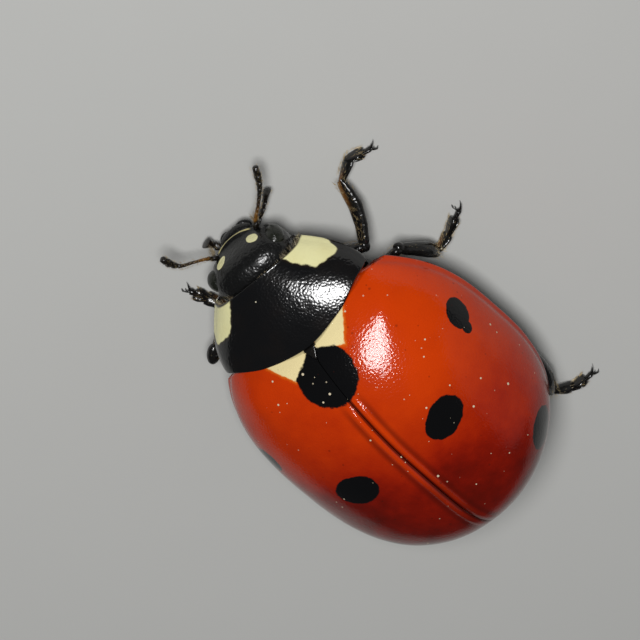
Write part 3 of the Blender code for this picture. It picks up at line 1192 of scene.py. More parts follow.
@dataclass(frozen=True)
class LegChitin(Chitin):
    """Black chitin with painted edge light: golden brown on the shins' forward faces near the foot and on
    the upper faces of the foot's lobes.
    """

    name: str = "leg_chitin"
    # Colours of the painted edge light.
    brown: Colour = (0.15, 0.062, 0.014)
    gold: Colour = (0.38, 0.22, 0.06)
    cloud_scale: float = 5.0
    netting: Netting = Netting(22.0, 16.0, 0.5)
    depth: float = 0.006
    roughness: float = 0.2

    def colour(self, paint: Paint, clouds: Value) -> Value:
        """Black, with brown and gold where the leg's painted edge light lies.

        Args:
            paint: The material.
            clouds: Its clouds.

        Returns:
            The colour.
        """
        # Painted edge light, read from the leg's own attribute.
        warm = paint.attribute(EDGE_LIGHT) + clouds.sway(0.3)
        colour = paint.blend(warm.step(0.2, 0.7), self.dark, self.brown)
        return paint.blend(warm.step(0.65, 1.05), colour, self.gold)


@dataclass(frozen=True)
class Belly(Chitin):
    """Pitted black plates of the underside, with a pale mark behind each shoulder."""

    name: str = "belly"
    warm: Colour = (0.035, 0.018, 0.008)
    warmth: float = 0.6
    pale: Colour = (0.72, 0.66, 0.36)
    mark: Triple = (1.62, -0.62, -0.3)
    mark_radii: Triple = (0.2, 0.16, 0.3)
    cloud_scale: float = 1.8
    cloud_edges: Pair = (0.45, 0.8)
    netting: Netting = Netting(20.0, 11.0, 0.6, (0.08, 0.5))
    depth: float = 0.01
    roughness: float = 0.3
    gloss_sway: float = 0.16

    def colour(self, paint: Paint, clouds: Value) -> Value:
        """Clouded black with the two pale marks.

        Args:
            paint: The material.
            clouds: Its clouds.

        Returns:
            The colour.
        """
        marks = []
        for side in Side:
            centre = (side.value * self.mark[0], *self.mark[1:])
            away = paint.blob(centre, Matrix.Identity(3), self.mark_radii)
            marks.append((away + paint.ragged(0.3, 8.0)).step(1.05, 0.95))
        return paint.blend(reduce(Value.most, marks), super().colour(paint, clouds), self.pale)


@dataclass(frozen=True)
class EyeFacets:
    """A nearly black eye of very many small facets."""

    dark: Colour = (0.006, 0.007, 0.005)
    sheen: Colour = (0.022, 0.024, 0.016)
    facets: float = 42.0
    depth: float = 0.004
    roughness: float = 0.24
    ior: float = 1.5

    def mix(self, datum: Datum) -> Finish:
        """The finished material.

        Args:
            datum: The drawing's origin.

        Returns:
            The material.
        """
        paint = Paint("eye_facets", datum)
        facet = paint.cells(self.facets, "SMOOTH_F1").step(0.75, 0.05)
        clouds = paint.noise(4.0, detail=2.0)
        colour = paint.blend(clouds * (0.4 + facet * 0.6), self.dark, self.sheen)
        return paint.wear(colour, self.roughness + clouds.sway(0.1), facet, self.depth, IOR=self.ior)


@dataclass(frozen=True)
class FeelerChitin:
    """Golden brown near the head and dark brown on the club."""

    name: str
    root: Triple
    reach: float
    amber: Colour
    brown: Colour
    black: Colour = (0.008, 0.006, 0.004)
    depth: float = 0.005
    roughness: float = 0.28

    def mix(self, datum: Datum) -> Finish:
        """The finished material.

        Args:
            datum: The drawing's origin.

        Returns:
            The material.
        """
        paint = Paint(self.name, datum)
        away = paint.blob(self.root, Matrix.Identity(3), [self.reach] * 3)
        darkening = away + paint.ragged(0.3, 9.0, 3.0)
        colour = paint.blend(darkening.step(0.3, 0.44), self.amber, self.brown)
        colour = paint.blend(darkening.step(0.42, 0.66), colour, self.black)
        colour = paint.blend(away.step(0.23, 0.17), colour, self.black)
        grain = paint.noise(34.0, detail=3.0, roughness=0.65)
        return paint.wear(colour, self.roughness + grain.sway(0.2), grain, self.depth, IOR=CHITIN_IOR)


@dataclass(frozen=True)
class HairTone:
    """Fine pale hair."""

    name: str
    pale: Colour
    dark: Colour
    roughness: float = 0.38

    def mix(self, datum: Datum) -> Finish:
        """The finished material.

        Args:
            datum: The drawing's origin.

        Returns:
            The material.
        """
        paint = Paint(self.name, datum)
        shade = paint.noise(14.0, detail=2.0).step(0.3, 0.7)
        colour = paint.blend(shade, self.pale, self.dark)
        return paint.wear(colour, self.roughness + shade * 0.1, IOR=CHITIN_IOR)


# ---------------- shell


@dataclass
class WingCases:
    """Two domed wing cases that meet in a seam along the back."""

    bench: Bench
    dome: Dome
    finish: Finish
    gap: float = 0.014
    thickness: float = 0.06
    lip: float = 0.025
    lip_drop: float = 0.16
    lip_start: float = -25.0
    seam_turn: float = 0.075
    seam_columns: int = 16
    crowding: float = 1.35
    dome_columns: int = 66
    fold_columns: int = 8
    lip_rows: int = 10
    dome_rows: int = 114
    fold_front: float = 0.4
    fold_rear: float = 0.1
    fold_drop: float = 0.1
    fold_curl: float = 0.12
    ridge_off: float = 0.105
    ridge_width: float = 0.055
    ridge_height: float = 0.045
    seam_width: float = 0.03
    seam_depth: float = 0.02
    ridge_start: Pair = (0.25, 1.0)
    ridge_end: Pair = (3.3, 4.8)
    margin_bead: float = 0.012
    margin_gutter: float = 0.014
    callus: Triple = (1.62, -0.3, 0.06)
    callus_width: float = 0.34
    notch_half_width: float = 0.66
    notch_end_y: float = -0.38
    notch_depth: float = 0.05
    sway: float = 0.014

    def place(self, side: Side, u: float, v: float) -> Vector:
        """A point of one wing case.

        Args:
            side: Which one.
            u: 0 at the seam, 1 at the inner edge of the fold under the rim.
            v: 0 at the front lip, 1 at the tip.

        Returns:
            The point in the drawing.
        """
        columns = self.seam_columns + self.dome_columns + self.fold_columns
        column = u * columns
        dome_end = self.seam_columns + self.dome_columns
        if column <= self.seam_columns:
            angle = self.seam_turn * column / self.seam_columns
        else:
            share = min(1.0, (column - self.seam_columns) / self.dome_columns)
            share = 1.0 - (1.0 - share) ** self.crowding
            angle = lerp(self.seam_turn, QUARTER, share)
        row = v * (self.lip_rows + self.dome_rows)
        along = max(0.0, row - self.lip_rows) / self.dome_rows
        point = self.dome.point(along, angle, self.lip)
        if row < self.lip_rows:
            out = Vector((math.sin(angle) / 2.3, 0.0, math.cos(angle) / 1.6)).normalized()
            turn = math.radians(lerp(self.lip_start, 90.0, row / self.lip_rows))
            point += out * self.lip_drop * (math.sin(turn) - 1.0)
            point.y -= self.lip * math.cos(turn)
        if column > dome_end:
            share = (column - dome_end) / self.fold_columns
            width = lerp(self.fold_front, self.fold_rear, along) * min(1.0, (1.0 - along) * 12.0)
            point.x -= width * (share - self.fold_curl * math.sin(math.pi * share))
            point.z -= self.fold_drop * width * math.sin(QUARTER * share)
        half_gap = 0.5 * self.gap
        point.x = side.value * (half_gap + point.x * (1.0 - half_gap / self.dome.width.peak))
        return point

    def relief(self, point: Vector, normal: Vector) -> float:
        """Ridge along the seam, gutter along the rim, and gentle waves.

        Args:
            point: A point of the wing case.
            normal: Its outward direction.

        Returns:
            How far it is raised.
        """
        aside = abs(point.x)
        level = point.z - self.dome.rim(point.y)
        here = noise.noise(point * 0.9) * self.sway + noise.noise(point * 3.1) * self.sway * 0.2
        ridge = bell((aside - self.ridge_off) / self.ridge_width) * self.ridge_height
        ridge -= bell((aside - self.gap * 0.5) / self.seam_width) * self.seam_depth
        here += ridge * smooth(*self.ridge_start, point.y) * (1.0 - smooth(*self.ridge_end, point.y))
        if normal.z > -0.3:
            here += self.margin_bead * bell((level - 0.04) / 0.05)
            here -= self.margin_gutter * bell((level - 0.17) / 0.07)
        x, y, height = self.callus
        here += height * bell(math.hypot(aside - x, point.y - y) / self.callus_width)
        room = self.notch_half_width * (self.notch_end_y - point.y)
        return here - self.notch_depth * smooth(0.0, 0.02, room - aside)

    def build(self, side: Side) -> None:
        """Make one wing case.

        Args:
            side: Which one.
        """
        columns = self.seam_columns + self.dome_columns + self.fold_columns
        case = self.bench.plate(columns, self.lip_rows + self.dome_rows,
                                lambda u, v: self.place(side, u, v), UP, self.thickness, self.relief)
        self.bench.keep(case, f"wing_case_{side.word}", self.finish, Slot.RED_SHELL,
                        [f"elytron_{side.word}"], 60.0)


@dataclass
class Scutellum:
    """The small black triangle between the wing cases' bases."""

    bench: Bench
    dome: Dome
    finish: Finish
    half_width: float = 0.145
    front_y: float = -0.63
    end_y: float = -0.41
    sunk: float = 0.07
    thickness: float = 0.09
    bevel: float = 0.03

    def build(self) -> None:
        """Draw a triangle, thicken it and round its edges."""
        self.bench.clear()
        bpy.ops.mesh.primitive_circle_add(vertices=3, radius=1.0, fill_type="NGON")
        plate = bpy.context.object
        corners = ((-self.half_width, self.front_y), (self.half_width, self.front_y), (0.0, self.end_y))
        for vertex, (x, y) in zip(plate.data.vertices, corners):
            vertex.co = self.dome.over(x, y) - UP * self.sunk
        with self.bench.shaping(plate):
            bpy.ops.mesh.extrude_region_move(TRANSFORM_OT_translate={"value": (0, 0, self.thickness)})
            self.bench.outwards()
            bpy.ops.mesh.bevel(offset=self.bevel, segments=4, profile=0.5)
        self.bench.keep(plate, "scutellum", self.finish, Slot.BLACK_SHELL, ["scutellum"], 70.0)


@dataclass
class NeckShield:
    """The pronotum: an arched shield over the neck, with a rolled rear edge."""

    bench: Bench
    dome: Dome
    shield: Shield
    finish: Finish
    columns: int = 132
    fold_columns: int = 7
    rows: int = 84
    lip_rows: int = 7
    along: Pair = (0.025, 0.977)
    crowding: float = 1.25
    lip: float = 0.018
    lip_turn: float = 1.6
    lip_push: float = 0.6
    rear_roll: float = 0.1
    rear_push: float = 0.45
    thickness: float = 0.07
    fold_width: float = 0.34
    fold_curl: float = 0.1
    fold_drop: float = 0.16
    bead: float = 0.006
    gutter: float = 0.004
    sway: float = 0.01

    def place(self, u: float, v: float) -> Vector:
        """A point of the shield, folds and lips included.

        Args:
            u: 0 at the right fold's inner edge, 1 at the left one's.
            v: 0 at the front lip, 1 at the rear roll.

        Returns:
            The point in the drawing.
        """
        column = u * (self.columns + 2 * self.fold_columns) - self.fold_columns
        share = min(1.0, max(0.0, column / self.columns))
        swing = 2.0 * share - 1.0
        angle = QUARTER * math.copysign(1.0 - (1.0 - abs(swing)) ** self.crowding, swing)
        row = v * (self.rows + 2 * self.lip_rows) - self.lip_rows
        along = min(1.0, max(0.0, row / self.rows))
        start, end = self.along
        point = self.shield.point(self.dome, start + (end - start) * along, angle)
        out = Vector((math.sin(angle) / 1.9, 0.0, math.cos(angle) / 0.9 + 0.02)).normalized()
        if row < 0.0:
            turn = QUARTER * min(self.lip_turn, -row / self.lip_rows * self.lip_turn)
            forward = Vector((0.0, self.lip_push * math.sin(turn), 0.0))
            point += self.lip * (out * (math.cos(turn) - 1.0) - forward)
        elif row > self.rows:
            turn = QUARTER * (row - self.rows) / self.lip_rows
            point += out * self.rear_roll * (math.cos(turn) - 1.0)
            point.y += self.rear_push * self.rear_roll * math.sin(turn)
        over = max(-column, column - self.columns, 0.0) / self.fold_columns
        if over > 0.0:
            width = self.fold_width * lerp(0.5, 1.0, along)
            inwards = width * (over - self.fold_curl * math.sin(math.pi * over))
            point.x -= math.copysign(inwards, angle)
            point.z -= self.fold_drop * width * math.sin(QUARTER * over)
        return point

    def relief(self, point: Vector, normal: Vector) -> float:
        """Bead and gutter along the sides, and gentle waves.

        Args:
            point: A point of the shield.
            normal: Its outward direction.

        Returns:
            How far it is raised.
        """
        share = (point.y - self.shield.corner_y) / (-1.0 - self.shield.corner_y)
        level = point.z - lerp(self.shield.front_edge, self.shield.rear_edge, share)
        here = noise.noise(point * 1.6) * self.sway + noise.noise(point * 5.0) * self.sway * 0.25
        if normal.z > -0.2 and abs(point.x) > 0.9:
            here += self.bead * bell((level - 0.03) / 0.05) - self.gutter * bell((level - 0.15) / 0.07)
        return here

    def build(self) -> None:
        """Make the shield."""
        plate = self.bench.plate(self.columns + 2 * self.fold_columns, self.rows + 2 * self.lip_rows,
                                 self.place, UP, self.thickness, self.relief)
        self.bench.keep(plate, "neck_shield", self.finish, Slot.BLACK_SHELL, ["pronotum"], 60.0)


# ---------------- underside


@dataclass
class Underside:
    """Chest and belly plates under the shell, with the swellings that seat the hips."""

    bench: Bench
    dome: Dome
    shield: Shield
    finish: Finish
    inset: float = 0.1
    neck_inset: float = 0.34
    neck_reach: Pair = (0.7, -0.46)
    side_drop: float = 0.04
    depth: float = 0.64
    flatness: float = 0.7
    end_rise: float = 0.75
    end_gap: float = 0.06
    waist_y: float = 1.78
    waist_gap: float = 0.02
    start_y: float = -0.46
    groove: float = 0.035
    groove_bow: float = 0.1
    thickness: float = 0.1
    belly_joints: tuple[float, ...] = (2.55, 3.2, 3.8, 4.32, 4.78)
    chest_joints: tuple[float, ...] = (0.1, 0.22)
    chest_lumps: tuple[Lump, ...] = (
        Lump((0.86, 1.5, -0.52), (0.42, 0.16, 0.14), (0.0, 0.0, 12.0)),
        Lump((0.84, 0.02, -0.52), (0.3, 0.2, 0.18), (0.0, 0.0, 10.0)),
        Lump((1.1, -0.3, -0.3), (0.32, 0.2, 0.26), (0.0, 20.0, 0.0)))
    neck_lumps: tuple[Lump, ...] = (Lump((0.52, -1.24, -0.52), (0.3, 0.2, 0.2), (0.0, 0.0, -18.0)),)
    neck_along: Pair = (0.1, 0.94)
    neck_width: Pair = (0.72, 0.8)
    neck_front_y: float = -1.84
    neck_rear_y: float = -0.72
    neck_rear_bow: float = 0.23
    neck_drop: float = 0.26
    neck_depth: float = 0.62
    neck_keel: float = 0.05
    neck_thickness: float = 0.12

    def level(self, x: float, y: float, half: float) -> float:
        """Level of the belly's skin.

        Args:
            x: The place across.
            y: The place along.
            half: Half the belly's width there.

        Returns:
            The level.
        """
        behind = max(0.0, (y - self.waist_y) / (self.dome.end_y - self.waist_y))
        share = min(1.0, abs(x) / half)
        keel = (1.0 - share * share) ** (0.5 * self.flatness)
        depth = self.depth * (1.0 - self.end_rise * behind * behind)
        return self.dome.rim(y) - self.side_drop - depth * keel

    def trough(self, start: float, end: float, joints: Sequence[float]) -> Thing:
        """A trough under the dome, with steps where its plates overlap.

        Args:
            start: Where it starts along the body.
            end: Where it ends.
            joints: Where its plates end.

        Returns:
            The new object.
        """
        def form(u: float, v: float) -> Vector:
            """A point of the trough.

            Args:
                u: 0 on the right, 1 on the left.
                v: 0 at the front, 1 at the rear.

            Returns:
                The point in the drawing.
            """
            y = lerp(start, end, v)
            half = max(0.02, self.dome.width.at(min(y, self.dome.end_y - 0.02)) - self.inset)
            half -= self.neck_inset * smooth(*self.neck_reach, y)
            x = half * math.sin(math.pi * (u - 0.5))
            z = self.level(x, y, half)
            for joint in joints:
                behind = y - joint - self.groove_bow * (x / 2.0) ** 2
                z += self.groove * (bell(behind / 0.035) - 0.5 * bell((behind + 0.1) / 0.07))
            return Vector((x, y, z))

        return self.bench.plate(72, 84, form, -UP, self.thickness)

    def neck(self) -> Thing:
        """The trough under the neck shield, with a low keel along its middle.

        Returns:
            The new object.
        """
        def form(u: float, v: float) -> Vector:
            """A point of the trough.

            Args:
                u: 0 on the right, 1 on the left.
                v: 0 at the front, 1 at the rear.

            Returns:
                The point in the drawing.
            """
            turn = math.pi * (u - 0.5)
            edge = self.shield.point(self.dome, lerp(*self.neck_along, v), QUARTER)
            x = edge.x * lerp(*self.neck_width, v) * math.sin(turn)
            y = lerp(self.neck_front_y, self.neck_rear_y - self.neck_rear_bow * math.sin(turn) ** 2, v)
            depth = self.neck_depth * lerp(0.8, 1.0, v) * math.cos(turn) ** 1.2
            keel = self.neck_keel * bell(x / 0.1) * smooth(0.1, 0.4, v)
            return Vector((x, y, edge.z - self.neck_drop - depth - keel))

        return self.bench.plate(56, 28, form, -UP, self.neck_thickness)

    def build(self) -> None:
        """Make belly, hind chest and neck chest, with the swellings of both sides."""
        waist = self.waist_y
        belly = self.trough(waist + self.waist_gap, self.dome.end_y - self.end_gap, self.belly_joints)
        chest = self.trough(self.start_y, waist - self.waist_gap, self.chest_joints)
        plates = ((belly, (), "belly", "abdomen"), (chest, self.chest_lumps, "chest", "thorax"),
                  (self.neck(), self.neck_lumps, "neck_chest", "prosternum"))
        for plate, lumps, name, node in plates:
            pieces = [self.bench.lump(lump, side) for side in Side for lump in lumps]
            piece = self.bench.join([plate, *pieces])
            self.bench.keep(piece, name, self.finish, Slot.UNDERSIDE, [node])


# ---------------- head


@dataclass(frozen=True)
class Bulge:
    """A rounded form: its middle, its half lengths and how full it is, where 2 is an ellipsoid."""

    centre: Triple
    radii: Triple
    fullness: float = 2.0
    rounds: int = 22

    def reach(self, start: Vector, heading: Vector) -> float:
        """How far a ray goes before it leaves the form.

        Args:
            start: Where it starts, inside.
            heading: Its direction.

        Returns:
            The distance.
        """
        centre = Vector(self.centre)
        near, far = 0.0, 2.0
        for _ in range(self.rounds):
            middle = 0.5 * (near + far)
            place = start + heading * middle - centre
            if sum(abs(p / r) ** self.fullness for p, r in zip(place, self.radii)) < 1.0:
                near = middle
            else:
                far = middle
        return near


@dataclass
class Head:
    """Head, eyes and upper lip."""

    bench: Bench
    finish: Finish
    eye_finish: Finish
    skull: Bulge = Bulge((0.0, -1.92, -0.18), (0.87, 0.61, 0.66), 2.5)
    muzzle: Bulge = Bulge((0.0, -2.2, -0.46), (0.47, 0.37, 0.34))
    inside: Triple = (0.0, -2.02, -0.3)
    blend: float = 14.0
    eye: Lump = Lump((0.715, -2.2, -0.13), (0.19, 0.22, 0.27), (0.0, 0.0, 28.0), 64, 40)
    lip_centre: Triple = (0.0, -2.4, -0.66)
    lip_radii: Triple = (0.37, 0.2, 0.16)
    lip_tilt: float = 18.0
    lip_notch: float = 0.03
    jaw: Lump = Lump((0.2, -2.4, -0.8), (0.17, 0.15, 0.08), (0.0, 0.0, 25.0), 40, 24)
    ledge_height: float = 0.05
    ledge_z: float = -0.4
    chin_depth: float = 0.1
    eye_rim: float = 0.012
    eye_rim_radius: float = 0.3
    dent_depth: float = 0.03
    dent_place: Pair = (0.5, -0.42)

    def relief(self, point: Vector, _normal: Vector) -> float:
        """Ledge over the mouth, eye seats and a dent each side of the brow.

        Args:
            point: A point of the head.
            _normal: Its outward direction, which plays no part.

        Returns:
            How far it is raised.
        """
        aside = abs(point.x)
        front = smooth(-2.1, -2.4, point.y)
        ledge = self.ledge_height * bell((point.z - self.ledge_z) / 0.05) * front
        ledge *= smooth(0.6, 0.4, aside)
        under = -self.chin_depth * smooth(-0.44, -0.56, point.z) * front
        seat = (Vector((aside, point.y, point.z)) - Vector(self.eye.place)).length
        rim = self.eye_rim * bell((seat - self.eye_rim_radius) / 0.07)
        x, z = self.dent_place
        dent = -self.dent_depth * bell(math.hypot(aside - x, point.z - z) / 0.1) * front
        wave = noise.noise(point * 3.0) * 0.012 + noise.noise(point * 9.0) * 0.004
        return ledge + under + rim + dent + wave

    def lip_relief(self, point: Vector, _normal: Vector) -> float:
        """A notch in the lip's middle, and gentle waves.

        Args:
            point: A point of the lip.
            _normal: Its outward direction, which plays no part.

        Returns:
            How far it is raised.
        """
        notch = self.lip_notch * bell(point.x / 0.07) * smooth(-0.66, -0.78, point.z)
        return noise.noise(point * 6.0) * 0.006 - notch

    def shape_head(self) -> Thing:
        """Skull and muzzle in one, smoothly joined, with a ledge over the mouth.

        Returns:
            The new object.
        """
        start = Vector(self.inside)
        head = self.bench.ball((0, 0, 0), (1, 1, 1), (90, 0, 0), 120, 80)
        for vertex in head.data.vertices:
            heading = vertex.co.normalized()
            reaches = (self.skull.reach(start, heading), self.muzzle.reach(start, heading))
            far = sum(reach**self.blend for reach in reaches) ** (1.0 / self.blend)
            vertex.co = start + heading * far
        head.data.update()
        self.bench.press(head, self.relief)
        return head

    def build(self) -> None:
        """Make skull, eyes and upper lip."""
        self.bench.keep(self.shape_head(), "head", self.finish, Slot.BLACK_SHELL, ["head"], 80.0)
        for side in Side:
            name = f"eye_{side.word}"
            eye = self.bench.lump(self.eye, side)
            self.bench.keep(eye, name, self.eye_finish, Slot.EYE, [name], 80.0)
        lip = self.bench.ball(self.lip_centre, self.lip_radii, (self.lip_tilt, 0, 0), 64, 40)
        self.bench.press(lip, self.lip_relief)
        lip = self.bench.join([lip, *(self.bench.lump(self.jaw, side) for side in Side)])
        self.bench.keep(lip, "upper_lip", self.finish, Slot.BLACK_SHELL, ["labrum"], 80.0)


@dataclass(frozen=True)
class FeelerPair:
    """Two feelers alike: the places each passes, their joints and how their colour runs."""

    word: str
    joints: Table
    routes: dict[Side, Table]
    reach: float
    amber: Colour
    brown: Colour


ANTENNAE = FeelerPair("antenna", (
    (0.2, 0.066, 0.086), (0.11, 0.058, 0.068), (0.12, 0.052, 0.058), (0.1, 0.05, 0.056),
    (0.1, 0.05, 0.056), (0.1, 0.052, 0.06), (0.1, 0.056, 0.066), (0.11, 0.062, 0.074),
    (0.13, 0.07, 0.084), (0.13, 0.08, 0.09), (0.15, 0.082, 0.066),
), {
    Side.RIGHT: ((-0.47, -2.38, -0.44), (-0.64, -2.62, -0.36), (-0.9, -2.84, -0.33),
                 (-1.17, -3.1, -0.32), (-1.3, -3.28, -0.33), (-1.43, -3.52, -0.36)),
    Side.LEFT: ((0.47, -2.38, -0.44), (0.6, -2.6, -0.34), (0.81, -2.81, -0.22),
                (1.00, -2.96, -0.15), (1.09, -3.15, -0.11), (1.11, -3.39, -0.07)),
}, 1.45, (0.16, 0.07, 0.01), (0.03, 0.015, 0.006))
PALPS = FeelerPair("palp", (
    (0.14, 0.055, 0.07), (0.22, 0.06, 0.085), (0.14, 0.065, 0.09), (0.24, 0.085, 0.135),
), {
    Side.RIGHT: ((-0.42, -2.26, -0.78), (-0.62, -2.36, -0.86), (-0.84, -2.5, -0.89),
                 (-1.03, -2.66, -0.88)),
    Side.LEFT: ((0.44, -2.26, -0.8), (0.51, -2.38, -0.9), (0.56, -2.48, -0.9),
                (0.6, -2.6, -0.88)),
}, 1.0, (0.01, 0.007, 0.005), (0.01, 0.007, 0.005))


@dataclass
class Feelers:
    """Feelers and mouth feelers, each of short joints along a curved path."""

    bench: Bench
    datum: Datum
    sides: int = 14
    steps: int = 24
    rings: tuple[float, ...] = (-0.04, 0.14, 0.55, 0.88, 1.0)

    def spans(self, places: Table, joints: Table) -> list[list[Vector]]:
        """Cut a path into the joints' own stretches.

        Args:
            places: Places that the path passes.
            joints: Each joint's length, root radius and tip radius.

        Returns:
            Five places for each joint, from root to tip.
        """
        path = through(places, self.steps)
        marks = [0.0]
        for a, b in zip(path, path[1:]):
            marks.append(marks[-1] + (b - a).length)
        whole = sum(length for length, _, _ in joints)

        def at(share: float) -> Vector:
            """The place a share of the way along the path.

            Args:
                share: 0 at its root, 1 at its tip.

            Returns:
                The place.
            """
            goal = min(share, 1.0) * marks[-1]
            i = next((k for k, m in enumerate(marks[1:]) if m >= goal), len(path) - 2)
            span = max(1e-9, marks[i + 1] - marks[i])
            return path[i].lerp(path[i + 1], (goal - marks[i]) / span)

        spans = []
        start = 0.0
        for length, _, _ in joints:
            share = length / whole
            spans.append([at(start + share * ring) for ring in self.rings])
            start += share
        return spans

    def shape(self, places: Table, joints: Table) -> Thing:
        """All joints of a feeler in one piece, each narrow at its ends.

        Args:
            places: Places that it passes.
            joints: Each joint's length, root radius and tip radius.

        Returns:
            The new object.
        """
        pieces = []
        for span, (_, root, tip) in zip(self.spans(places, joints), joints):
            widths = (root * 0.5, root * 0.92, lerp(root, tip, 0.6), tip, tip * 0.62)
            stations = [Station(p, w, w) for p, w in zip(span, widths)]
            pieces.append(self.bench.limb(stations, self.sides))
        return self.bench.join(pieces)

    def build(self) -> None:
        """Make both feelers and both mouth feelers."""
        for pair in (ANTENNAE, PALPS):
            for side, places in pair.routes.items():
                name = f"{pair.word}_{side.word}"
                finish = FeelerChitin(name, places[0], pair.reach, pair.amber, pair.brown)
                feeler = self.shape(places, pair.joints)
                self.bench.keep(feeler, name, finish.mix(self.datum), Slot.FEELER, [name], 70.0)


# ---------------- legs


@dataclass(frozen=True)
class Stance:
    """One leg's joints, from hip to claw."""

    side: Side
    word: str
    hip: Triple
    knee: Triple
    shin: Triple
    ankle: Triple
    pad: Triple
    lobe: Triple
    claw: Triple
    claw_turn: float = 0.0
    knee_size: float = 1.0
    knee_stretch: float = 1.0
    knee_turn: float = 0.0

    @property
    def name(self) -> str:
        """The leg's name, such as front_left."""
        return f"{self.word}_{self.side.word}"


STANCES = (
    Stance(Side.RIGHT, "front", (-0.5, -1.22, -0.62), (-1.69, -0.66, -0.34), (-2.03, -1.2, -0.62),
           (-2.16, -1.83, -0.88), (-2.58, -2.00, -1.02), (-2.83, -1.9, -1.03), (-3.01, -1.87, -1.02)),
    Stance(Side.LEFT, "front", (0.5, -1.22, -0.62), (2.04, -0.85, -0.36), (1.5, -1.06, -0.62),
           (1.29, -1.2, -0.9), (1.51, -1.58, -1.02), (1.58, -1.77, -1.03), (1.62, -1.91, -1.02),
           0.0, 1.2, 1.45, -59.0),
    Stance(Side.RIGHT, "middle", (-0.78, 0.02, -0.62), (-2.12, -0.14, -0.34), (-2.36, 0.36, -0.6),
           (-2.42, 0.79, -0.88), (-2.77, 0.68, -1.02), (-3.08, 0.51, -1.03), (-3.28, 0.42, -1.02), 55.0),
    Stance(Side.LEFT, "middle", (0.78, 0.02, -0.62), (2.1, 0.28, -0.38), (2.32, 0.84, -0.62),
           (2.4, 1.36, -0.88), (2.62, 1.74, -1.02), (2.74, 1.96, -1.03), (2.83, 2.14, -1.02)),
    Stance(Side.RIGHT, "hind", (-0.86, 1.72, -0.62), (-2.3, 3.5, -0.42), (-2.12, 4.28, -0.58),
           (-1.82, 4.96, -0.86), (-2.11, 5.24, -1.02), (-2.4, 5.28, -1.03), (-2.6, 5.27, -1.02)),
    Stance(Side.LEFT, "hind", (0.86, 1.72, -0.62), (2.24, 3.38, -0.42), (2.14, 4.1, -0.6),
           (1.93, 4.7, -0.88), (2.08, 5.06, -1.02), (2.2, 5.26, -1.03), (2.31, 5.42, -1.02)),
)


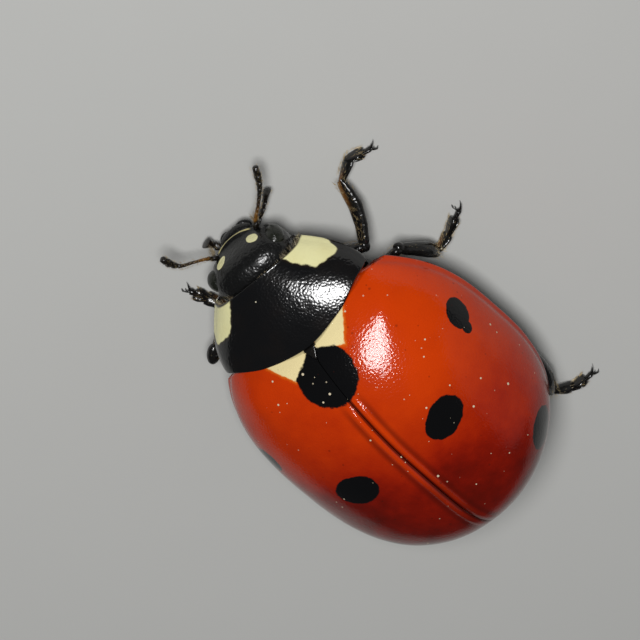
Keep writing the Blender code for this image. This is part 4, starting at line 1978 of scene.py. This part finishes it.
@dataclass
class Legs:
    """Six legs, each of hip, thigh, shin, two padded foot joints and a pair of claws.

    A table holds a limb's half widths across and above at shares of its length.
    """

    bench: Bench
    finish: Finish
    hip_radii: Triple = (0.2, 0.24, 0.17)
    knee_radii: Triple = (0.11, 0.135, 0.105)
    thigh: Table = (
        (0.0, 0.1, 0.09), (0.08, 0.15, 0.12), (0.3, 0.2, 0.14), (0.6, 0.205, 0.14),
        (0.85, 0.175, 0.13), (0.95, 0.15, 0.12), (1.0, 0.09, 0.07))
    thigh_arch: float = 0.05
    shin: Table = (
        (0.0, 0.07, 0.07), (0.05, 0.115, 0.11), (0.14, 0.125, 0.115), (0.32, 0.145, 0.135),
        (0.6, 0.17, 0.155), (0.82, 0.155, 0.135), (0.95, 0.12, 0.105), (1.0, 0.08, 0.07))
    pad: Table = (
        (0.0, 0.05, 0.05), (0.15, 0.085, 0.07), (0.45, 0.115, 0.085), (0.75, 0.145, 0.09),
        (0.92, 0.14, 0.08), (1.0, 0.08, 0.05))
    lobe: Table = (
        (0.0, 0.05, 0.05), (0.25, 0.12, 0.075), (0.6, 0.155, 0.08), (0.88, 0.14, 0.06),
        (1.0, 0.07, 0.035))
    lobe_slimness: float = 0.68
    lobe_spread: float = 0.055
    toe: Table = (
        (0.0, 0.045, 0.045), (0.2, 0.055, 0.055), (0.7, 0.06, 0.06), (0.92, 0.075, 0.065),
        (1.0, 0.04, 0.04))
    claw: Table = ((0.0, 1.0, 1.0), (0.3, 0.95, 0.95), (0.65, 0.6, 0.6), (0.9, 0.3, 0.3), (1.0, 0.08, 0.08))
    claw_reach: float = 0.135
    claw_spread: float = 0.06
    claw_width: float = 0.024
    tooth_width: float = 0.0192
    sides: int = 18
    steps: int = 16
    sole: float = FLOOR + 0.006
    unevenness: float = 0.006

    def along(self, places: Sequence[Sequence[float]], widths: Table, width: float = 1.0,
              height: float = 1.0) -> Thing:
        """A limb along a smooth path.

        Args:
            places: Places that it passes.
            widths: Its table.
            width: What the table's half widths across are multiplied by.
            height: What those above are multiplied by.

        Returns:
            The new object.
        """
        path = through(places, self.steps)
        stations = [Station(path[round(share * (len(path) - 1))], wide * width, thick * height)
                    for share, wide, thick in widths]
        return self.bench.limb(stations, self.sides)

    def warmth(self, point: Vector, normal: Vector, stance: Stance) -> float:
        """How much painted edge light a place takes: golden brown on the shin's forward faces towards the
        foot, and on the upper faces of the foot's lobes.

        Args:
            point: A point of the leg.
            normal: Its outward direction.
            stance: The leg's joints.

        Returns:
            0 where it is black, 1 where it is golden.
        """
        fore = Vector((-0.66 * stance.side.value, -0.74, 0.1)).dot(normal)
        place = Vector(stance.ankle).lerp(Vector(stance.shin), 0.35)
        shin = bell((point - place).length / 0.4) * smooth(0.45, 0.95, fore)
        lobe = bell((point - Vector(stance.lobe)).length / 0.16) * smooth(0.35, 0.95, normal.z)
        return min(1.0, shin + 0.4 * lobe)

    def claws(self, stance: Stance) -> list[Thing]:
        """Two hooked claws, each with a tooth at its root.

        Args:
            stance: The leg's joints.

        Returns:
            The new objects.
        """
        root = Vector(stance.claw)
        heading = (root - Vector(stance.lobe)).normalized()
        heading.z = 0.0
        heading.normalize()
        heading.rotate(Matrix.Rotation(math.radians(stance.claw_turn), 3, "Z"))
        reach = heading * self.claw_reach
        made = []
        for swing in (-1.0, 1.0):
            out = UP.cross(heading) * swing * self.claw_spread
            end = root + out * 1.5 + reach * 0.85
            end.z = self.sole + 0.012
            hook = (root, root + out * 0.8 + reach * 0.3 + UP * 0.012,
                    root + out * 1.4 + reach * 0.7 - UP * 0.01, end)
            made.append(self.along(hook, self.claw, self.claw_width, self.claw_width))
            tip = root + out * 0.9 + reach * 0.42
            tip.z = self.sole + 0.02
            tooth = (root + out * 0.4, root + out * 0.8 + reach * 0.18 - UP * 0.012, tip)
            made.append(self.along(tooth, self.claw, self.tooth_width, self.tooth_width))
        return made

    def upper(self, stance: Stance) -> list[Thing]:
        """Hip, thigh, knee and shin.

        Args:
            stance: The leg's joints.

        Returns:
            The new objects.
        """
        hip, knee, ankle = Vector(stance.hip), Vector(stance.knee), Vector(stance.ankle)
        out = (knee - hip).normalized()
        turn = math.degrees(math.atan2(out.y, out.x))
        coxa = self.bench.ball(hip + out * 0.02, self.hip_radii, (0, 0, turn))
        middle = hip.lerp(knee, 0.55) + UP * self.thigh_arch
        thigh = self.along((hip, middle, knee + out * 0.05), self.thigh)
        shin = self.along((knee, stance.shin, ankle), self.shin)
        stretch = (stance.knee_size, stance.knee_size * stance.knee_stretch, stance.knee_size)
        radii = [radius * size for radius, size in zip(self.knee_radii, stretch)]
        bend = self.bench.ball(knee - UP * 0.02, radii, (0, 0, turn + stance.knee_turn))
        return [coxa, thigh, bend, shin]

    def foot(self, stance: Stance) -> list[Thing]:
        """Pad, two lobes, toe and claws.

        Args:
            stance: The leg's joints.

        Returns:
            The new objects.
        """
        ankle, pad, lobe = Vector(stance.ankle), Vector(stance.pad), Vector(stance.lobe)
        made = [self.along((ankle.lerp(Vector(stance.shin), 0.08), pad), self.pad)]
        heading = (lobe - pad).normalized()
        aside = UP.cross(heading).normalized()
        for swing in (-1.0, 1.0):
            tip = lobe + aside * self.lobe_spread * swing + heading * 0.03
            made.append(self.along((pad - heading * 0.1, tip), self.lobe, self.lobe_slimness))
        toe = (pad.lerp(lobe, 0.2) + UP * 0.03, lobe + UP * 0.02, stance.claw)
        return [*made, self.along(toe, self.toe), *self.claws(stance)]

    def build(self) -> None:
        """Make the six legs, flat under their soles."""
        for stance in STANCES:
            leg = self.bench.join([*self.upper(stance), *self.foot(stance)])
            for vertex in leg.data.vertices:
                vertex.co.z = max(vertex.co.z, self.sole)
            self.bench.press(leg, lambda point, _: noise.noise(point * 5.0) * self.unevenness)
            # Painted edge light: stored on each point from the way its face turns.
            warm = leg.data.attributes.new(EDGE_LIGHT, "FLOAT", "POINT")
            for vertex, mark in zip(leg.data.vertices, warm.data):
                mark.value = self.warmth(vertex.co, vertex.normal, stance)
            nodes = [f"{part}_{stance.name}" for part in ("femur", "tibia", "tarsus")]
            self.bench.keep(leg, f"leg_{stance.name}", self.finish, Slot.LEG, nodes, 60.0)


# ---------------- hair


@dataclass(frozen=True)
class Hair:
    """One hair: where it grows, the way it points, its sizes and its place on the unwrap."""

    root: Vector
    heading: Vector
    droop: Vector
    length: float
    width: float
    patch: Pair

    @property
    def tip(self) -> Vector:
        """Where it ends."""
        return self.root + (self.heading + self.droop) * self.length


@dataclass
class Coat:
    """Many hairs as one solid mesh of thin three-sided cones."""

    bench: Bench
    sides: int = 3
    steps: int = 3
    patch_size: float = 0.003
    taper: tuple[float, ...] = (1.0, 0.8, 0.5)

    def build(self, hairs: Sequence[Hair], name: str, finish: Finish, slot: Slot,
              nodes: Sequence[str]) -> None:
        """Make the mesh and its unwrap, where each hair has a small patch of its own.

        Args:
            hairs: The hairs.
            name: The finished piece's name.
            finish: Its material.
            slot: Passed on to Bench.keep, which does not use it.
            nodes: The frame's nodes that it stands for.
        """
        points = []
        faces = []
        patches = []
        for hair in hairs:
            first = len(points)
            frame = cross_frame(hair.heading.normalized())
            for k in range(self.steps):
                share = k / self.steps
                middle = hair.root + hair.heading * hair.length * share
                middle += hair.droop * hair.length * share * share
                for i in range(self.sides):
                    turn = 2.0 * math.pi * i / self.sides
                    ring = frame[0] * math.cos(turn) + frame[1] * math.sin(turn)
                    points.append(middle + ring * hair.width * self.taper[k])
                    patches.append((hair.patch, i / self.sides, share))
            points.append(hair.tip)
            patches.append((hair.patch, 0.5, 1.0))
            faces.append(tuple(first + self.sides - 1 - i for i in range(self.sides)))
            for k in range(self.steps - 1):
                low = first + k * self.sides
                for i in range(self.sides):
                    j = (i + 1) % self.sides
                    faces.append((low + i, low + j, low + j + self.sides, low + i + self.sides))
            low = first + (self.steps - 1) * self.sides
            tip = len(points) - 1
            faces.extend((low + i, low + (i + 1) % self.sides, tip) for i in range(self.sides))
        mesh = bpy.data.meshes.new(name)
        mesh.from_pydata(points, [], faces)
        layer = mesh.uv_layers.new(name="OFBake")
        for loop in mesh.loops:
            (u, v), across, along = patches[loop.vertex_index]
            layer.data[loop.index].uv = (u + (across - 0.5) * self.patch_size,
                                         v + (along - 0.5) * self.patch_size)
        coat = bpy.data.objects.new(name, mesh)
        bpy.context.scene.collection.objects.link(coat)
        self.bench.keep(coat, name, finish, slot, nodes, 80.0)


@dataclass(frozen=True)
class Growth:
    """A hairy stretch of a limb.

    `radius` is the limb's at both ends of the stretch. `lean` is 0 where the hairs stand
    straight out and 1 where they lie along. `below` is how much more grow on the underside.
    """

    count: int
    radius: Pair
    length: float
    lean: float
    stretch: Pair
    below: float = 0.0


@dataclass
class Hairs:
    """Where the insect is hairy: legs, feelers, the shield's front and the mouth."""

    bench: Bench
    dome: Dome
    shield: Shield
    gold: Finish
    ash: Finish
    seed: int = 7
    shin: Growth = Growth(260, (0.1, 0.145), 0.085, 0.66, (0.1, 1.0))
    thigh: Growth = Growth(130, (0.15, 0.14), 0.06, 0.78, (0.35, 0.98))
    foot: Growth = Growth(260, (0.09, 0.13), 0.08, 0.6, (0.05, 1.0), 0.6)
    antenna: Growth = Growth(200, (0.055, 0.1), 0.045, 0.62, (0.1, 1.0))
    palp: Growth = Growth(33, (0.05, 0.12), 0.045, 0.62, (0.2, 1.0))
    fringe_hairs: int = 170
    fringe_length: float = 0.11
    tuft_hairs: int = 42
    tuft_length: float = 0.2
    tuft_thickness: float = 1.7
    width: float = 0.0026
    rooted: float = 0.86
    droop: float = 0.18
    clearance: float = 0.005

    def __post_init__(self) -> None:
        """Seed the shuffles."""
        self.chance = random.Random(self.seed)
        self.coat = Coat(self.bench)

    def round_limb(self, places: Sequence[Sequence[float]], growth: Growth) -> list[Hair]:
        """Hairs that lean along a limb towards its tip.

        Args:
            places: Places that the limb passes.
            growth: The hairy stretch.

        Returns:
            The hairs, without those that would reach the floor.
        """
        path = through(places, 20)
        start, end = growth.stretch
        hairs = []
        for _ in range(growth.count):
            along = self.chance.uniform(start, end)
            spot = along * (len(path) - 1)
            i = min(int(spot), len(path) - 2)
            place = path[i].lerp(path[i + 1], spot - i)
            frame = cross_frame((path[i + 1] - path[i]).normalized())
            turn = self.chance.uniform(0.0, 2.0 * math.pi)
            if growth.below and math.sin(turn) > 0.0 and self.chance.random() < growth.below:
                turn = -turn
            out = frame[0] * math.cos(turn) + frame[1] * math.sin(turn)
            thick = lerp(*growth.radius, (along - start) / (end - start))
            heading = out.lerp(frame[2], growth.lean * self.chance.uniform(0.85, 1.1)).normalized()
            length = growth.length * self.chance.uniform(0.7, 1.15)
            width = self.width * self.chance.uniform(0.8, 1.2)
            patch = (0.05 + 0.9 * (turn / (2 * math.pi)) % 1.0, 0.05 + 0.9 * along)
            root = place + out * thick * self.rooted
            hairs.append(Hair(root, heading, frame[2] * self.droop, length, width, patch))
        return [h for h in hairs if h.tip.z > FLOOR + self.clearance]

    def build(self) -> None:
        """Make every coat piece: gold on legs and feelers, ash under the shield."""
        for stance in STANCES:
            hairs = self.round_limb((stance.knee, stance.shin, stance.ankle), self.shin)
            hairs += self.round_limb((stance.hip, stance.knee), self.thigh)
            hairs += self.round_limb((stance.ankle, stance.pad, stance.lobe), self.foot)
            nodes = [f"{part}_{stance.name}" for part in ("tibia", "tarsus")]
            self.coat.build(hairs, f"hair_{stance.name}", self.gold, Slot.LEG, nodes)
        for side, places in ANTENNAE.routes.items():
            hairs = self.round_limb(places, self.antenna)
            name = f"antenna_{side.word}"
            self.coat.build(hairs, f"hair_{name}", self.gold, Slot.FEELER, [name])
        hairs = []
        for places in PALPS.routes.values():
            hairs += self.round_limb(places, self.palp)
        self.coat.build(hairs, "hair_palps", self.gold, Slot.FEELER, ["palp_left", "palp_right"])
        hairs = self.fringe() + self.tufts()
        self.coat.build(hairs, "hair_fringe", self.ash, Slot.BLACK_SHELL, ["pronotum"])

    def fringe(self) -> list[Hair]:
        """A pale fringe under the shield's front edge.

        Returns:
            The hairs.
        """
        hairs = []
        for _ in range(self.fringe_hairs):
            swing = self.chance.uniform(-0.97, 0.97)
            edge = self.shield.point(self.dome, 0.02, QUARTER * swing)
            heading = Vector((0.25 * swing + self.chance.uniform(-0.3, 0.3), -1.0,
                              -0.45 + self.chance.uniform(-0.2, 0.2))).normalized()
            length = self.fringe_length * self.chance.uniform(0.7, 1.2)
            root = edge + Vector((0.0, 0.03, -0.075))
            patch = (0.5 + 0.45 * swing, 0.03)
            hairs.append(Hair(root, heading, UP * -0.15, length, self.width, patch))
        return hairs

    def tufts(self) -> list[Hair]:
        """A tuft on each side of the mouth.

        Returns:
            The hairs.
        """
        hairs = []
        for side in Side:
            for _ in range(self.tuft_hairs):
                share = self.chance.random()
                root = Vector((side.value * lerp(0.5, 0.58, share), lerp(-2.47, -2.4, share),
                               -0.56 + self.chance.uniform(-0.05, 0.05)))
                heading = Vector((side.value * self.chance.uniform(-0.2, 0.35), -1.0,
                                  self.chance.uniform(-0.7, 0.0))).normalized()
                length = self.tuft_length * self.chance.uniform(0.6, 1.1)
                patch = (0.5 + 0.3 * side.value * share, 0.97)
                width = self.width * self.tuft_thickness
                hairs.append(Hair(root, heading, UP * -0.1, length, width, patch))
        return hairs


# ---------------- studio


@dataclass(frozen=True)
class Lamp:
    """A round soft light: the way it lies, how far off, how wide and how strong."""

    name: str
    heading: Triple
    distance: float
    size: float
    power: float


@dataclass
class Studio:
    """Pale floor, soft lights and the camera."""

    datum: Datum
    floor_colour: Colour = (0.56, 0.56, 0.54)
    floor_size: float = 1.2
    camera_right: Triple = (-0.7451, 0.658, 0.1091)
    camera_down: Triple = (0.5871, 0.5693, 0.5755)
    look_at: Triple = (-0.0453, -0.1327, -0.0984)
    distance: float = 97.6
    lens: float = 286.14
    sensor: float = 36.0
    lamps: tuple[Lamp, ...] = (Lamp("key", (-0.215, -0.48, 0.85), 90.0, 28.0, 0.068),
                               Lamp("fill", (-0.8, 0.5, 0.3), 120.0, 110.0, 0.006))
    lamp_aim: Triple = (0.0, 1.0, 0.5)
    sky_colour: Colour = (0.92, 0.96, 1.0)
    sky_strength: float = 0.055

    def floor(self) -> None:
        """A large pale floor."""
        paint = Paint("floor", self.datum)
        mottle = paint.noise(0.6, detail=4.0)
        shade = paint.blend(mottle * 0.4, self.floor_colour, [c * 0.94 for c in self.floor_colour])
        finish = paint.wear(shade, 0.75 + mottle.sway(0.1))
        bpy.ops.mesh.primitive_plane_add(size=self.floor_size)
        floor = bpy.context.object
        floor.name = "floor"
        floor.data.materials.append(finish)

    def light(self, lamp: Lamp) -> None:
        """Hang a lamp so that it faces the insect.

        Args:
            lamp: The lamp.
        """
        disc = bpy.data.lights.new(lamp.name, "AREA")
        disc.shape = "DISK"
        disc.size = lamp.size * MM
        disc.energy = lamp.power
        light = bpy.data.objects.new(lamp.name, disc)
        bpy.context.scene.collection.objects.link(light)
        heading = Vector(lamp.heading)
        light.location = self.datum.bring(heading.normalized() * lamp.distance + Vector(self.lamp_aim))
        light.rotation_euler = heading.to_track_quat("Z", "Y").to_euler()

    def camera(self) -> None:
        """The camera, close to the key light."""
        lens = bpy.data.cameras.new("camera")
        lens.lens = self.lens
        lens.sensor_width = self.sensor
        lens.clip_start = MM
        camera = bpy.data.objects.new("camera", lens)
        bpy.context.scene.collection.objects.link(camera)
        right = Vector(self.camera_right).normalized()
        back = right.cross(-Vector(self.camera_down).normalized()).normalized()
        place = self.datum.bring(Vector(self.look_at) + back * self.distance)
        turn = Matrix((right, back.cross(right), back)).transposed()
        camera.matrix_world = Matrix.Translation(place) @ turn.to_4x4()
        bpy.context.scene.camera = camera

    def build(self) -> None:
        """Set up floor, lights, sky and camera."""
        self.floor()
        for lamp in self.lamps:
            self.light(lamp)
        world = bpy.data.worlds.new("studio")
        world.use_nodes = True
        sky = world.node_tree.nodes["Background"]
        sky.inputs["Color"].default_value = (*self.sky_colour, 1.0)
        sky.inputs["Strength"].default_value = self.sky_strength
        bpy.context.scene.world = world
        bpy.context.scene.view_settings.view_transform = "Standard"
        self.camera()


# ---------------- main


def main() -> None:
    """Build the ladybird, piece by piece, in the frame's place."""
    logging.basicConfig(level=logging.INFO, format="%(message)s")
    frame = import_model()
    LOG.info("%d solids in the frame", len(frame["nodes"]))
    dome, shield = Dome(), Shield()
    datum = Datum.find(dome)
    bench = Bench(datum)

    red = RedShell().mix(datum, dome)
    for side in Side:
        WingCases(bench, dome, red).build(side)
    Scutellum(bench, dome, Chitin().mix(datum)).build()
    NeckShield(bench, dome, shield, ShieldShell().mix(datum, shield)).build()
    Underside(bench, dome, shield, Belly().mix(datum)).build()
    Head(bench, HeadShell().mix(datum), EyeFacets().mix(datum)).build()
    Feelers(bench, datum).build()
    Legs(bench, LegChitin().mix(datum)).build()
    gold = HairTone("hair_gold", (0.66, 0.52, 0.27), (0.3, 0.2, 0.09)).mix(datum)
    ash = HairTone("hair_ash", (0.55, 0.47, 0.32), (0.2, 0.15, 0.09)).mix(datum)
    Hairs(bench, dome, shield, gold, ash).build()
    Studio(datum).build()

    faces = sum(len(piece.data.polygons) for piece in bench.kept)
    LOG.info("%d pieces, %d faces", len(bench.kept), faces)


if __name__ == "__main__":
    main()
